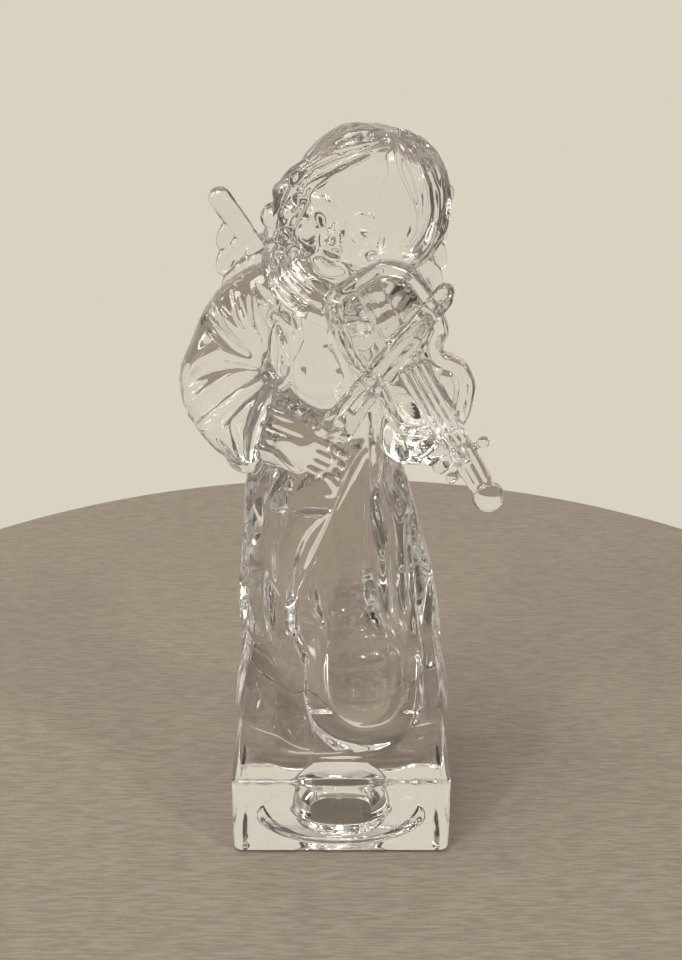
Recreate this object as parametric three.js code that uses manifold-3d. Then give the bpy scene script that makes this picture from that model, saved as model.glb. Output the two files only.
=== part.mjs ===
// A clear crystal statuette: a child angel in a long robe who plays a violin, standing on a square plinth.
// The glass is one pressed casting. It is built here as its sculpted elements, one closed solid each,
// which meet along the creases of the sculpture with a hairline gap.
// Millimetres, +Z up. The origin is the middle of the plinth's underside. The figure faces -Y, so its
// own left hand is on +X.
import * as THREE from "three";
import { LoftGeometry } from "three/addons/geometries/LoftGeometry.js";
import { mergeVertices } from "three/addons/utils/BufferGeometryUtils.js";
import Module from "manifold-3d";

// ---------------------------------------------------------------- driving dimensions
const GAP = 0.3; // hairline between two elements that meet

const PLINTH_SIDE = 62.5;
const PLINTH_HEIGHT = 24;
const PLINTH_CORNER = 3; // radius of the upright corners
const PLINTH_EDGE = 1; // bevel along the bottom and top edges
const FOOT_TOP = 30; // the robe's foot stands this high on the plinth, and the hem hangs above it
const FOOT_SIDE = 60; // width of the foot at its top
const FOOT_SQUARENESS = 5; // the foot and the hem are rounded squares
const GUSSET_TOP = 44; // height at which the four corner points run out on the robe
const GUSSET_SIDE = 52; // width across the corner points at that height
const DISH_RADIUS = 24.6; // rim of the shallow dish under the plinth
const DISH_DEPTH = 3;
const WELL_RADIUS = 14.6; // a steep well with a rounded top in the middle of the dish
const WELL_DEPTH = 14;

const WAIST = 105; // height of the seam between robe and tunic
const HEAD = [4, -3, 179.5]; // middle of the skull
const HEAD_TILT = 0.36; // radians that the crown leans to the figure's left
const COLLAR = [-1, -3.5, 162.5]; // middle of the neck opening
const WING_ROOT = [8, 13.5, 148]; // where a wing leaves the back, mirrored for the other wing

const VIOLIN_TAIL = [5, -16.5, 166]; // the end of the violin under the chin
const VIOLIN_DIP = THREE.MathUtils.degToRad(60); // slope of the strings below the horizontal
const VIOLIN_FORWARD = THREE.MathUtils.degToRad(5); // how far the scroll end leans to the front
const VIOLIN_LENGTH = 46;
const VIOLIN_LOWER = 13.5; // half width of the bout at the chin
const VIOLIN_WAIST = 9;
const VIOLIN_UPPER = 12; // half width of the bout at the neck
const VIOLIN_DEPTH = 6;
const RELIEF = 1.4; // how far the tailpiece and fingerboard stand off the violin's top
const SCROLL_AT = 66.5; // distance of the scroll from the tail end
const SCROLL_RADIUS = 4.3;
const STRING_RADIUS = 0.5;
const STRING_PITCH = 1.7;

const BOW_TIP = [25, -26.5, 163];
const BOW_GRIP = [-5, -26, 127];
const BOW_RADIUS = 1.5;
const BOW_HAIR_RADIUS = 0.9;

const AROUND = 20; // points round a stack of ovals
const LIMB_AROUND = 10; // points round a limb
const BALL = [12, 8]; // segments of an egg

// ---------------------------------------------------------------- solids from three.js geometry
const wasm = await Module();
wasm.setup();

// A closed geometry as a solid for joining and cutting.
function solidOf(geometry, matrix = new THREE.Matrix4()) {
  const shell = geometry.index ? geometry.toNonIndexed() : geometry.clone();
  shell.deleteAttribute("normal");
  shell.deleteAttribute("uv");
  shell.applyMatrix4(matrix);
  const merged = mergeVertices(shell, 1e-3);
  const mesh = new wasm.Mesh({
    numProp: 3,
    vertProperties: merged.attributes.position.array,
    triVerts: new Uint32Array(merged.index.array),
  });
  return new wasm.Manifold(mesh);
}

const join = (solids) => solids.reduce((a, b) => a.add(b));

function geometryOf(solid) {
  const mesh = solid.getMesh();
  const geometry = new THREE.BufferGeometry();
  geometry.setAttribute("position", new THREE.BufferAttribute(mesh.vertProperties, 3));
  geometry.setIndex(new THREE.BufferAttribute(mesh.triVerts, 1));
  geometry.computeVertexNormals();
  return geometry;
}

// Every shape below takes grow, which swells it by that much, to make the room it needs in a neighbour.

// An egg: its centre, its three radii, and a lean about Y in radians.
function egg([x, y, z], [rx, ry, rz], lean = 0, grow = 0) {
  const matrix = new THREE.Matrix4().makeTranslation(x, y, z);
  matrix.multiply(new THREE.Matrix4().makeRotationY(lean));
  matrix.multiply(new THREE.Matrix4().makeScale(rx + grow, ry + grow, rz + grow));
  return solidOf(new THREE.SphereGeometry(1, ...BALL), matrix);
}

// A round limb through points [x, y, z, radius], with domed ends.
function limb(stations, grow = 0, around = LIMB_AROUND) {
  const curve = new THREE.CatmullRomCurve3(stations.map(([x, y, z]) => new THREE.Vector3(x, y, z)));
  const radii = new THREE.SplineCurve(stations.map(([, , , r], i) => new THREE.Vector2(i, r)));
  const steps = stations.length < 3 ? 1 : (stations.length - 1) * 2;
  const frames = curve.computeFrenetFrames(steps);
  const ring = (step, along, radius) => {
    const centre = curve.getPoint(step / steps).addScaledVector(frames.tangents[step], along);
    return Array.from({ length: around }, (_, i) => {
      const turn = (i / around) * 2 * Math.PI;
      return centre
        .clone()
        .addScaledVector(frames.normals[step], radius * Math.cos(turn))
        .addScaledVector(frames.binormals[step], radius * Math.sin(turn));
    });
  };
  const dome = (step, side, degrees) => {
    const radius = radii.getPoint(step / steps).y + grow;
    const angle = THREE.MathUtils.degToRad(degrees);
    return ring(step, side * radius * Math.sin(angle), radius * Math.cos(angle));
  };
  const sections = [dome(0, -1, 70), dome(0, -1, 38)];
  for (let step = 0; step <= steps; step++) sections.push(dome(step, 0, 0));
  sections.push(dome(steps, 1, 38), dome(steps, 1, 70));
  return solidOf(new LoftGeometry(sections, { capStart: true, capEnd: true }));
}

// A stack of level ovals, each [z, x, y, half width, half depth, squareness]; squareness 2 is an ellipse.
function stack(ovals, grow = 0) {
  const sections = ovals.map(([z, x, y, rx, ry, squareness = 2], level) => {
    const end = level === 0 ? -grow : level === ovals.length - 1 ? grow : 0;
    const reach = (value) => Math.sign(value) * Math.abs(value) ** (2 / squareness);
    return Array.from({ length: AROUND }, (_, i) => {
      const turn = ((i + 0.5) / AROUND) * 2 * Math.PI;
      const across = x + (rx + grow) * reach(Math.cos(turn));
      return new THREE.Vector3(across, y + (ry + grow) * reach(Math.sin(turn)), z + end);
    });
  });
  return solidOf(new LoftGeometry(sections, { capStart: true, capEnd: true }));
}

// ---------------------------------------------------------------- plinth and robe
function plinth() {
  // the well opens in the dish, and both are carried on below the ground for a clean cut
  const dish = Array.from({ length: 5 }, (_, i) => {
    const turn = THREE.MathUtils.degToRad(40 + (50 * i) / 4);
    return [DISH_RADIUS * Math.sin(turn), DISH_DEPTH * Math.cos(turn)];
  });
  const well = [
    [0, WELL_DEPTH],
    [WELL_RADIUS - 4.5, WELL_DEPTH],
    [WELL_RADIUS - 2, WELL_DEPTH - 1.2],
    [WELL_RADIUS - 0.8, WELL_DEPTH - 3.5],
    [WELL_RADIUS, DISH_DEPTH],
  ];
  const hollowSide = [...well, ...dish, [DISH_RADIUS, -1], [0, -1]];
  const profile = hollowSide.reverse().map(([radius, height]) => new THREE.Vector2(radius, height));
  const hollow = new THREE.LatheGeometry(profile, 32);
  hollow.rotateX(Math.PI / 2);
  return [join([plinthBlock(), plinthGussets(), plinthFoot()]).subtract(solidOf(hollow))];
}

function plinthBlock() {
  const half = PLINTH_SIDE / 2 - PLINTH_EDGE;
  const corner = PLINTH_CORNER - PLINTH_EDGE;
  const square = new THREE.Shape();
  square.moveTo(half - corner, -half);
  square.absarc(half - corner, corner - half, corner, -Math.PI / 2, 0);
  square.absarc(half - corner, half - corner, corner, 0, Math.PI / 2);
  square.absarc(corner - half, half - corner, corner, Math.PI / 2, Math.PI);
  square.absarc(corner - half, corner - half, corner, Math.PI, 1.5 * Math.PI);
  const block = new THREE.ExtrudeGeometry(square, {
    depth: PLINTH_HEIGHT - 2 * PLINTH_EDGE,
    bevelThickness: PLINTH_EDGE,
    bevelSize: PLINTH_EDGE,
    bevelSegments: 2,
    curveSegments: 4,
  });
  block.translate(0, 0, PLINTH_EDGE);
  return solidOf(block);
}

// A steep pyramid stump whose four corners rise from the block and run out on the robe.
function plinthGussets() {
  const root = PLINTH_HEIGHT - 2;
  const corner = (side) => side * Math.SQRT1_2;
  const stump = new THREE.CylinderGeometry(
    corner(GUSSET_SIDE),
    corner(PLINTH_SIDE - 1),
    GUSSET_TOP - root,
    4,
    1,
    false,
    Math.PI / 4,
  );
  stump.rotateX(Math.PI / 2);
  stump.translate(0, 0, (GUSSET_TOP + root) / 2);
  return solidOf(stump);
}

const plinthFoot = () =>
  stack([
    [PLINTH_HEIGHT - 2, 0, 0, FOOT_SIDE / 2 + 1, FOOT_SIDE / 2 + 1, FOOT_SQUARENESS],
    [FOOT_TOP, 0, 0, FOOT_SIDE / 2, FOOT_SIDE / 2, FOOT_SQUARENESS],
  ]);

const robe = (grow) => [
  stack(
    [
      [FOOT_TOP + GAP, 0, 0, 30.2, 30.2, FOOT_SQUARENESS],
      [40, 0.2, 0, 29.9, 29.4, 4.6],
      [52, 0.3, 0, 29.5, 27.6, 3.6],
      [64, 0, 0, 28.4, 25.2, 3],
      [78, -1.5, 0, 26.6, 22.5, 2.6],
      [92, -3.5, 0, 24, 19.8, 2.3],
      [WAIST - GAP, -5, 0, 21.8, 17.5],
    ],
    grow,
  ),
];

// The hanging edges of the mantle, one down each flank of the robe.
const mantleRight = (grow) => [
  limb([[-22, -3, 108, 5], [-24.5, -2, 88, 4.5], [-26.5, -2, 68, 4], [-28, -2, 50, 1.6]], grow),
];
const mantleLeft = (grow) => [
  limb([[13, -2, 103, 4.5], [19.5, -3, 84, 4.5], [24.5, -3, 68, 4], [28.5, -2, 53, 1.6]], grow),
];

// ---------------------------------------------------------------- tunic, sleeves and collar
const torso = (grow) => [
  stack(
    [
      [WAIST, -5, 0, 21.8, 17.3],
      [118, -4, 0, 20.5, 17.5],
      [132, -2, 0, 20.5, 17.5],
      [146, -1, 1, 20.5, 16],
      [157, 0, 2, 19, 14],
      [164, 0, 2, 14, 11],
      [168, 0, 1, 8, 8],
    ],
    grow,
  ),
];

// Upper arm, then forearm and cuff; the right one also has a hanging fold under the elbow.
const sleeveRight = (grow) => [
  limb([[-14, 2, 158, 8.5], [-25, 1, 150, 10.5], [-32, -2, 134, 11.5]], grow, AROUND / 2 + 2),
  limb([[-31, -4, 130, 12], [-22, -11, 122.5, 11.5], [-12, -16, 121.5, 9]], grow, AROUND / 2 + 2),
  limb([[-27, -6, 120, 9], [-25.5, -7, 112, 4]], grow),
];
const sleeveLeft = (grow) => [
  limb([[13, 3, 158, 9], [15.5, 2, 146, 9.5], [16.5, 0, 132, 10]], grow),
  limb([[16, 0, 128, 10], [19, -9, 120, 8.5]], grow),
];

// A rolled collar of two ridges round the neck, each [ring radius, height in the collar's plane].
function collar(grow) {
  const ridges = [
    [13, 2],
    [17, -2],
  ];
  const plane = new THREE.Matrix4().makeTranslation(...COLLAR);
  plane.multiply(new THREE.Matrix4().makeRotationFromEuler(new THREE.Euler(0.4, 0.25, 0)));
  return ridges.map(([radius, height]) => {
    const ring = new THREE.TorusGeometry(radius, 3.2 + grow, 6, 18);
    ring.translate(0, 0, height);
    return solidOf(ring, plane);
  });
}

// ---------------------------------------------------------------- head and hair
function head(grow) {
  const [x, y, z] = HEAD;
  const skull = egg(HEAD, [15.5, 15, 16.5], HEAD_TILT, grow);
  const cheeks = egg([x - 4, y - 5, z - 4.5], [12.5, 12, 12.5], HEAD_TILT, grow);
  const chin = egg([x - 5, y - 8.5, z - 12], [5.5, 5, 4.5], HEAD_TILT, grow);
  const nose = egg([x - 4.6, y - 16, z - 3.5], [1.8, 2.6, 3.4], HEAD_TILT, grow);
  const neck = limb([[0, 0, 158, 8], [1, 0, 168, 8.5]], grow);
  return [skull, cheeks, chin, nose, neck];
}

function hair(grow) {
  const [x, y, z] = HEAD;
  const cap = [
    egg([x + 3.5, y + 3.5, z + 1.2], [20.5, 18.5, 19.4], HEAD_TILT, grow),
    egg([x + 7.5, y + 1, z - 2], [17, 15, 17.5], HEAD_TILT, grow),
    egg([x - 13.5, y + 2, z - 1], [7, 11, 11], HEAD_TILT, grow),
  ];
  const curls = [
    [-17, -3, 172, 4],
    [-14.5, -7, 175.5, 3.6],
    [-15.5, 3, 170, 4.4],
    [-14, -6.5, 181, 4.2],
  ].map(([cx, cy, cz, r]) => egg([cx, cy, cz], [r, r, r], 0, grow));
  const face = egg([x - 4.5, y - 20, z - 4], [14.5 - grow, 15 - grow, 17.5 - grow], HEAD_TILT);
  return [join([...cap, ...curls]).subtract(face)];
}

// ---------------------------------------------------------------- hands
const FINGERS = [0, 1, 2, 3];

const handRight = (grow) => [
  egg([-6.5, -20, 118.5], [6, 4, 5.2], 0.3, grow),
  ...FINGERS.map((i) => {
    const knuckle = [-4, -23, 122.5 - 2.6 * i, 1.5];
    return limb([knuckle, [1.5 - 0.6 * i, -24, 121 - 2.6 * i, 1.4]], grow, 8);
  }),
];

const handLeft = (grow) => [
  egg([21, -14.5, 119], [7, 4.6, 6], -0.5, grow),
  egg([28, -17, 118.5], [5.5, 4.5, 5], -0.5, grow),
  ...FINGERS.map((i) => {
    const knuckle = [22 + 2.6 * i, -20.5, 124 - 2.4 * i, 1.7];
    return limb([knuckle, [25.5 + 2.4 * i, -22.5, 125 - 2.6 * i, 1.6]], grow, 8);
  }),
];

// ---------------------------------------------------------------- wings
// A wing is drawn in its own plane: x runs outwards from the spine and y upwards.
function wing(side, sweep, grow) {
  const thickness = 2.4;
  const feathers = new THREE.Shape();
  feathers.moveTo(0, -16);
  feathers.lineTo(2, 9);
  feathers.quadraticCurveTo(11, 18, 22, 32);
  feathers.quadraticCurveTo(26, 32, 26.5, 28);
  for (const [x, y] of [[26.5, 17], [25, 8], [22, -1], [17.5, -8], [11, -14], [5, -18]]) {
    const from = feathers.currentPoint;
    feathers.quadraticCurveTo((from.x + x) / 2 + 2.6, (from.y + y) / 2 - 2.2, x, y);
  }
  feathers.closePath();
  const blade = new THREE.ExtrudeGeometry(feathers, {
    depth: thickness,
    bevelThickness: 1 + grow,
    bevelSize: grow,
    bevelSegments: 1,
    curveSegments: 3,
  });
  const [rootX, rootY, rootZ] = WING_ROOT;
  const frame = new THREE.Matrix4().makeTranslation(side * rootX, rootY, rootZ);
  frame.multiply(new THREE.Matrix4().makeRotationZ(side * sweep));
  frame.multiply(new THREE.Matrix4().makeScale(side, 1, 1));
  frame.multiply(new THREE.Matrix4().makeRotationX(Math.PI / 2));
  frame.multiply(new THREE.Matrix4().makeTranslation(0, 0, -thickness));
  const leadingEdge = [[3, 5, 3], [10, 15, 3], [17.5, 24.5, 3], [23, 31, 2.8]].map(([x, y, radius]) => {
    const at = new THREE.Vector3(x, y, thickness / 2).applyMatrix4(frame);
    return [at.x, at.y, at.z, radius];
  });
  return [solidOf(side < 0 ? turnedInsideOut(blade) : blade, frame), limb(leadingEdge, grow, 8)];
}

// A copy with every triangle reversed, for a shape that is about to be mirrored.
function turnedInsideOut(geometry) {
  const copy = mergeVertices(geometry);
  const order = copy.index.array;
  for (let i = 0; i < order.length; i += 3) [order[i], order[i + 1]] = [order[i + 1], order[i]];
  return copy;
}

// ---------------------------------------------------------------- violin
// The violin's own frame: u along the strings towards the scroll, v across, w out of its top.
function violinFrame() {
  const along = new THREE.Vector3(Math.cos(VIOLIN_DIP), 0, -Math.sin(VIOLIN_DIP));
  const across = new THREE.Vector3(Math.sin(VIOLIN_DIP), 0, Math.cos(VIOLIN_DIP));
  const out = new THREE.Vector3().crossVectors(along, across);
  const frame = new THREE.Matrix4().makeBasis(along, across, out);
  frame.premultiply(new THREE.Matrix4().makeTranslation(...VIOLIN_TAIL));
  return frame.multiply(new THREE.Matrix4().makeRotationY(-VIOLIN_FORWARD));
}
const VIOLIN = violinFrame();

function onViolin(u, v, w, radius) {
  const at = new THREE.Vector3(u, v, w).applyMatrix4(VIOLIN);
  return [at.x, at.y, at.z, radius];
}

// A block on the violin's centre line from u0 to u1, and from low to high above its back.
function slab(u0, u1, halfWidth, low, high, grow) {
  const block = new THREE.BoxGeometry(u1 - u0 + 2 * grow, 2 * (halfWidth + grow), high - low + 2 * grow);
  block.translate((u0 + u1) / 2, 0, (low + high) / 2);
  return solidOf(block, VIOLIN);
}

function violinBody(grow) {
  const side = [
    [0, 0.45 * VIOLIN_LOWER],
    [5, 0.86 * VIOLIN_LOWER],
    [13, VIOLIN_LOWER],
    [21, 0.86 * VIOLIN_LOWER],
    [24, 0.8 * VIOLIN_LOWER],
    [25.5, VIOLIN_WAIST],
    [28.5, VIOLIN_WAIST - 0.6],
    [31, VIOLIN_WAIST + 0.6],
    [32, 0.95 * VIOLIN_UPPER],
    [37.5, VIOLIN_UPPER],
    [43, 0.82 * VIOLIN_UPPER],
    [VIOLIN_LENGTH, 0.4 * VIOLIN_UPPER],
  ];
  const outline = new THREE.Shape();
  const curve = (points) => outline.splineThru(points.map(([u, v]) => new THREE.Vector2(u, v)));
  outline.moveTo(side[0][0], -side[0][1]);
  curve(side.slice(1).map(([u, v]) => [u, -v]));
  outline.lineTo(VIOLIN_LENGTH, side.at(-1)[1]);
  curve(side.slice(0, -1).reverse());
  const edge = 0.8;
  const body = new THREE.ExtrudeGeometry(outline, {
    depth: VIOLIN_DEPTH - 2 * edge,
    bevelThickness: edge + grow,
    bevelSize: grow,
    bevelSegments: 1,
    curveSegments: 2,
  });
  body.translate(0, 0, edge);
  return [solidOf(body, VIOLIN)];
}

const SUNK = VIOLIN_DEPTH - 1.5; // what stands on the violin's top starts this far above its back

const tailpiece = (grow) => [slab(3, 17, 3.2, SUNK, VIOLIN_DEPTH + RELIEF, grow)];
const bridge = (grow) => [slab(20.5, 22.5, 4.6, SUNK, VIOLIN_DEPTH + 2, grow)];
const fingerboard = (grow) => [slab(26, 50, 3.6, SUNK, VIOLIN_DEPTH + RELIEF, grow)];
const pegbox = (grow) => [slab(50.6, 63.5, 3.3, 0.5, VIOLIN_DEPTH + 0.2, grow)];

const string = (index) => (grow) => {
  const v = (index - 1.5) * STRING_PITCH;
  const ends = [onViolin(18, v, VIOLIN_DEPTH + 2.6, STRING_RADIUS), onViolin(49, v, VIOLIN_DEPTH + 2.2, STRING_RADIUS)];
  return [limb(ends, grow, 6)];
};

const scroll = (grow) => {
  const centre = onViolin(SCROLL_AT, 0, VIOLIN_DEPTH / 2, 0).slice(0, 3);
  return [egg(centre, [SCROLL_RADIUS, SCROLL_RADIUS, SCROLL_RADIUS], 0, grow)];
};

const peg = (u, side) => (grow) => {
  const w = VIOLIN_DEPTH / 2;
  return [limb([onViolin(u, side * 3.6, w, 0.9), onViolin(u, side * 5.6, w, 1.7)], grow, 8)];
};

// ---------------------------------------------------------------- bow
// A point at a share of the way from the bow's tip to its grip, offset square to the stick.
function onBow(share, offset, radius) {
  const at = new THREE.Vector3(...BOW_TIP).lerp(new THREE.Vector3(...BOW_GRIP), share);
  return [at.x + 0.78 * offset, at.y, at.z - 0.62 * offset, radius];
}
const bowStick = (grow) => [limb([onBow(0, 0, BOW_RADIUS), onBow(1, 0, BOW_RADIUS)], grow)];
const bowHair = (grow) => [limb([onBow(0.1, 2.6, BOW_HAIR_RADIUS), onBow(0.93, 5.2, BOW_HAIR_RADIUS)], grow, 8)];
const bowFrog = (grow) => [limb([onBow(0.97, 1.8, 1.3), onBow(0.97, 5, 1.4)], grow, 8)];

// ---------------------------------------------------------------- assembly
// From front to back: an element keeps its shape, and makes room for itself in every later one.
const elements = [
  ["bow_stick", bowStick],
  ["bow_frog", bowFrog],
  ["bow_hair", bowHair],
  ["string_1", string(0)],
  ["string_2", string(1)],
  ["string_3", string(2)],
  ["string_4", string(3)],
  ["bridge", bridge],
  ["tailpiece", tailpiece],
  ["fingerboard", fingerboard],
  ["peg_left", peg(53, 1)],
  ["peg_right", peg(57.5, -1)],
  ["scroll", scroll],
  ["pegbox", pegbox],
  ["hand_left", handLeft],
  ["hand_right", handRight],
  ["violin_body", violinBody],
  ["head", head],
  ["collar", collar],
  ["hair", hair],
  ["wing_right", (grow) => wing(-1, 0.28, grow)],
  ["wing_left", (grow) => wing(1, 0.62, grow)],
  ["sleeve_right", sleeveRight],
  ["sleeve_left", sleeveLeft],
  ["torso", torso],
  ["mantle_edge_right", mantleRight],
  ["mantle_edge_left", mantleLeft],
  ["robe", robe],
  ["plinth", plinth],
];

// The largest body of a solid: thin leftovers of a cut are dropped.
function largest(solid) {
  const bodies = solid.decompose();
  return bodies.reduce((best, body) => (body.volume() > best.volume() ? body : best));
}

const crystal = () =>
  new THREE.MeshStandardMaterial({ color: 0xf4f6f2, roughness: 0.02, metalness: 0, transparent: true, opacity: 0.35 });

const statuette = new THREE.Group();
const rooms = [];
for (const [name, recipe] of elements) {
  let solid = join(recipe(0));
  for (const room of rooms) if (!solid.intersect(room).isEmpty()) solid = solid.subtract(room);
  rooms.push(join(recipe(GAP)));
  const mesh = new THREE.Mesh(geometryOf(largest(solid)), crystal());
  mesh.name = name;
  statuette.add(mesh);
}

export default statuette;
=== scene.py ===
"""A clear crystal statuette: a child angel in a long robe who plays a violin, standing on a square plinth.

The casting is sculpted as one distance field in millimetres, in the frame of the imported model, and then cut
into one closed mesh for each sculpted element. Neighbours share their seam point for point, so the pieces
look like the single block of glass that the real one is.
"""
import math

import bpy
import numpy as np
from mathutils import Matrix, Vector


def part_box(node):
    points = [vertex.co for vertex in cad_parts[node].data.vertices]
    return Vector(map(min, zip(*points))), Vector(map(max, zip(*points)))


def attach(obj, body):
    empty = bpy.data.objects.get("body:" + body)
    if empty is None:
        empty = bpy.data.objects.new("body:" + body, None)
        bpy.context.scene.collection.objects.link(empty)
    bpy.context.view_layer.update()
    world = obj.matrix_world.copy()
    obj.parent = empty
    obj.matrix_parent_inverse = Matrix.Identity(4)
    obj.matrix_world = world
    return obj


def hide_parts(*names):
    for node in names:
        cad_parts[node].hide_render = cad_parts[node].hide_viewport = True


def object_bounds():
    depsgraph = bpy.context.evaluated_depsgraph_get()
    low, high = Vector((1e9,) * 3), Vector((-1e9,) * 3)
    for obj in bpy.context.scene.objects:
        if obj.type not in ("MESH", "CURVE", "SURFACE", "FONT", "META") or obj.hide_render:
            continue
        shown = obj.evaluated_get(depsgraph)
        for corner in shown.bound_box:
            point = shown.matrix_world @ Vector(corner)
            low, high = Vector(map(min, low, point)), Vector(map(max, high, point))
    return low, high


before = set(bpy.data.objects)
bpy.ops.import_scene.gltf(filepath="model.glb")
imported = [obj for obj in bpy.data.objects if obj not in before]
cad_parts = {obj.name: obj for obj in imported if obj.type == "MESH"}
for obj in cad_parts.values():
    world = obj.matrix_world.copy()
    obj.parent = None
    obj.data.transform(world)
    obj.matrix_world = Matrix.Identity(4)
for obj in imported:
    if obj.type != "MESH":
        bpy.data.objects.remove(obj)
cad_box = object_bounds()

MM = 0.001  # the sculpture is worked in millimetres, Blender in metres
STEP = 0.45  # pitch of the distance field
MARGIN = 1.8  # room round a lump, more than any blend is wide
FAR = 9.0  # distance held where nothing is near


# ---------------------------------------------------------------- small mathematics
def vec(*values):
    return np.array(values, float)


def unit(v):
    return v / np.linalg.norm(v)


def smooth_min(a, b, soft):
    h = np.maximum(soft - np.abs(a - b), 0) / soft
    return np.minimum(a, b) - h * h * soft / 4


def smooth_max(a, b, soft):
    return -smooth_min(-a, -b, soft)


def ramp(value, low, high):
    t = np.clip((value - low) / (high - low), 0, 1)
    return t * t * (3 - 2 * t)


def corner_distance(p, q):
    """Distance to the edge where two sides meet, from the distance to each side."""
    return np.sqrt(np.maximum(p, 0) ** 2 + np.maximum(q, 0) ** 2) + np.minimum(np.maximum(p, q), 0)


def cut_along(axis, start, stop):
    """Index that takes start to stop along one axis and all of the other two."""
    cut = [slice(None)] * 3
    cut[axis] = slice(start, stop)
    return tuple(cut)


def turned(x_deg=0, y_deg=0, z_deg=0):
    """Rotation about X, then Y, then Z, as a 3x3 array."""
    return np.array(
        Matrix.Rotation(math.radians(z_deg), 3, "Z")
        @ Matrix.Rotation(math.radians(y_deg), 3, "Y")
        @ Matrix.Rotation(math.radians(x_deg), 3, "X")
    )


def spline(points, steps=6):
    """Catmull-Rom through the rows of points, with steps points for each stretch."""
    p = np.array(points, float)
    if len(p) < 3:
        return p
    p = np.vstack([2 * p[0] - p[1], p, 2 * p[-1] - p[-2]])
    out = []
    for i in range(1, len(p) - 2):
        for t in np.arange(steps) / steps:
            a, b, c, d = p[i - 1 : i + 3]
            place = 2 * b + (c - a) * t + (2 * a - 5 * b + 4 * c - d) * t**2
            place = place + (3 * b - a - 3 * c + d) * t**3
            out.append(0.5 * place)
    return np.array(out + [p[-2]])


def along(points, at):
    """Value of a smooth curve through (place, value) points, at an array of places."""
    curve = spline(sorted(points), 8)
    return np.interp(at, curve[:, 0], curve[:, 1])


def box_of(node):
    low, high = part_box(node)
    return np.array(low) / MM, np.array(high) / MM


# ---------------------------------------------------------------- the clay
class Grid:
    """The axes of the whole distance field."""

    def __init__(self, low, high):
        start = np.floor(low / STEP) * STEP
        self.axes = [np.arange(start[i], high[i] + STEP, STEP, dtype=np.float32) for i in range(3)]
        self.start = start
        self.shape = tuple(len(a) for a in self.axes)

    def window(self, low, high):
        cut = []
        for i in range(3):
            first = max(0, int(np.searchsorted(self.axes[i], low[i])) - 1)
            last = min(self.shape[i], int(np.searchsorted(self.axes[i], high[i])) + 1)
            cut.append(slice(first, max(last, first + 1)))
        return tuple(cut)


class Lump:
    """The distance field of one element, inside its own window of the grid."""

    def __init__(self, grid, low, high):
        self.grid = grid
        self.cut = grid.window(np.array(low, float), np.array(high, float))
        self.x = grid.axes[0][self.cut[0]][:, None, None]
        self.y = grid.axes[1][self.cut[1]][None, :, None]
        self.z = grid.axes[2][self.cut[2]][None, None, :]
        self.d = np.full(np.broadcast_shapes(self.x.shape, self.y.shape, self.z.shape), FAR, np.float32)
        self.base = self.d

    def part(self, low, high):
        """A window inside this lump: its slices, and its coordinates."""
        inner = self.grid.window(np.array(low, float), np.array(high, float))
        cut = []
        for own, other in zip(self.cut, inner):
            first = min(max(other.start - own.start, 0), own.stop - own.start)
            last = min(max(other.stop - own.start, 0), own.stop - own.start)
            cut.append(slice(first, max(first, last)))
        cut = tuple(cut)
        return cut, (self.x[cut[0]], self.y[:, cut[1]], self.z[:, :, cut[2]])

    def join(self, distance, soft):
        self.d = smooth_min(self.d, distance, soft).astype(np.float32)

    def add(self, shape, soft=1.0):
        low, high = shape.bounds()
        cut, places = self.part(low - MARGIN - soft, high + MARGIN + soft)
        if self.d[cut].size:
            self.d[cut] = smooth_min(self.d[cut], shape.distance(*places), soft)

    def carve(self, shape, soft=0.6):
        low, high = shape.bounds()
        cut, places = self.part(low - MARGIN - soft, high + MARGIN + soft)
        if self.d[cut].size:
            self.d[cut] = smooth_max(self.d[cut], -shape.distance(*places), soft)

    def raise_by(self, height):
        """Lifts the surface by a height in millimetres at each place."""
        self.d = (self.d - height).astype(np.float32)

    def settle(self):
        """Keeps the surface as it is now for front() to follow."""
        self.base = self.d.copy()

    def front(self, x, z):
        """Where the kept surface faces the viewer at x and height z: its y."""
        i = int(np.clip(np.searchsorted(self.x.ravel(), x), 0, self.d.shape[0] - 1))
        k = int(np.clip(np.searchsorted(self.z.ravel(), z), 0, self.d.shape[2] - 1))
        column, y = self.base[i, :, k], self.y.ravel()
        inside = np.flatnonzero(column < 0)
        if not len(inside):
            return float(y[np.argmin(column)])
        j = max(int(inside[0]), 1)
        share = column[j - 1] / max(column[j - 1] - column[j], 1e-6)
        return float(y[j - 1] + np.clip(share, 0, 1) * STEP)

    def laid(self, points, radius, proud):
        """A tapered rod along the front through (x, height) points, proud by a share of its radius."""
        path = spline(points, 6)
        y = np.array([self.front(x, z) for x, z in path])
        for _ in range(3):
            y[1:-1] = 0.25 * y[:-2] + 0.5 * y[1:-1] + 0.25 * y[2:]
        thick = radius * (0.4 + 0.6 * np.sin(np.pi * np.linspace(0.06, 0.94, len(path))))
        rows = np.column_stack([path[:, 0], y + thick * (1 - 2 * proud), path[:, 1], thick])
        return Rod(rows, 1)

    def ridge(self, points, radius, proud=0.35, soft=0.5):
        self.add(self.laid(points, radius, proud), soft)

    def groove(self, points, radius, depth=0.35, soft=0.4):
        self.carve(self.laid(points, radius, 1 - depth), soft)


def lump_for(grid, node, below=4, above=None):
    """An empty lump round the box of a node, with some millimetres of room below and above it."""
    low, high = box_of(node)
    return Lump(grid, low - below, high + (below if above is None else above))


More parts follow.
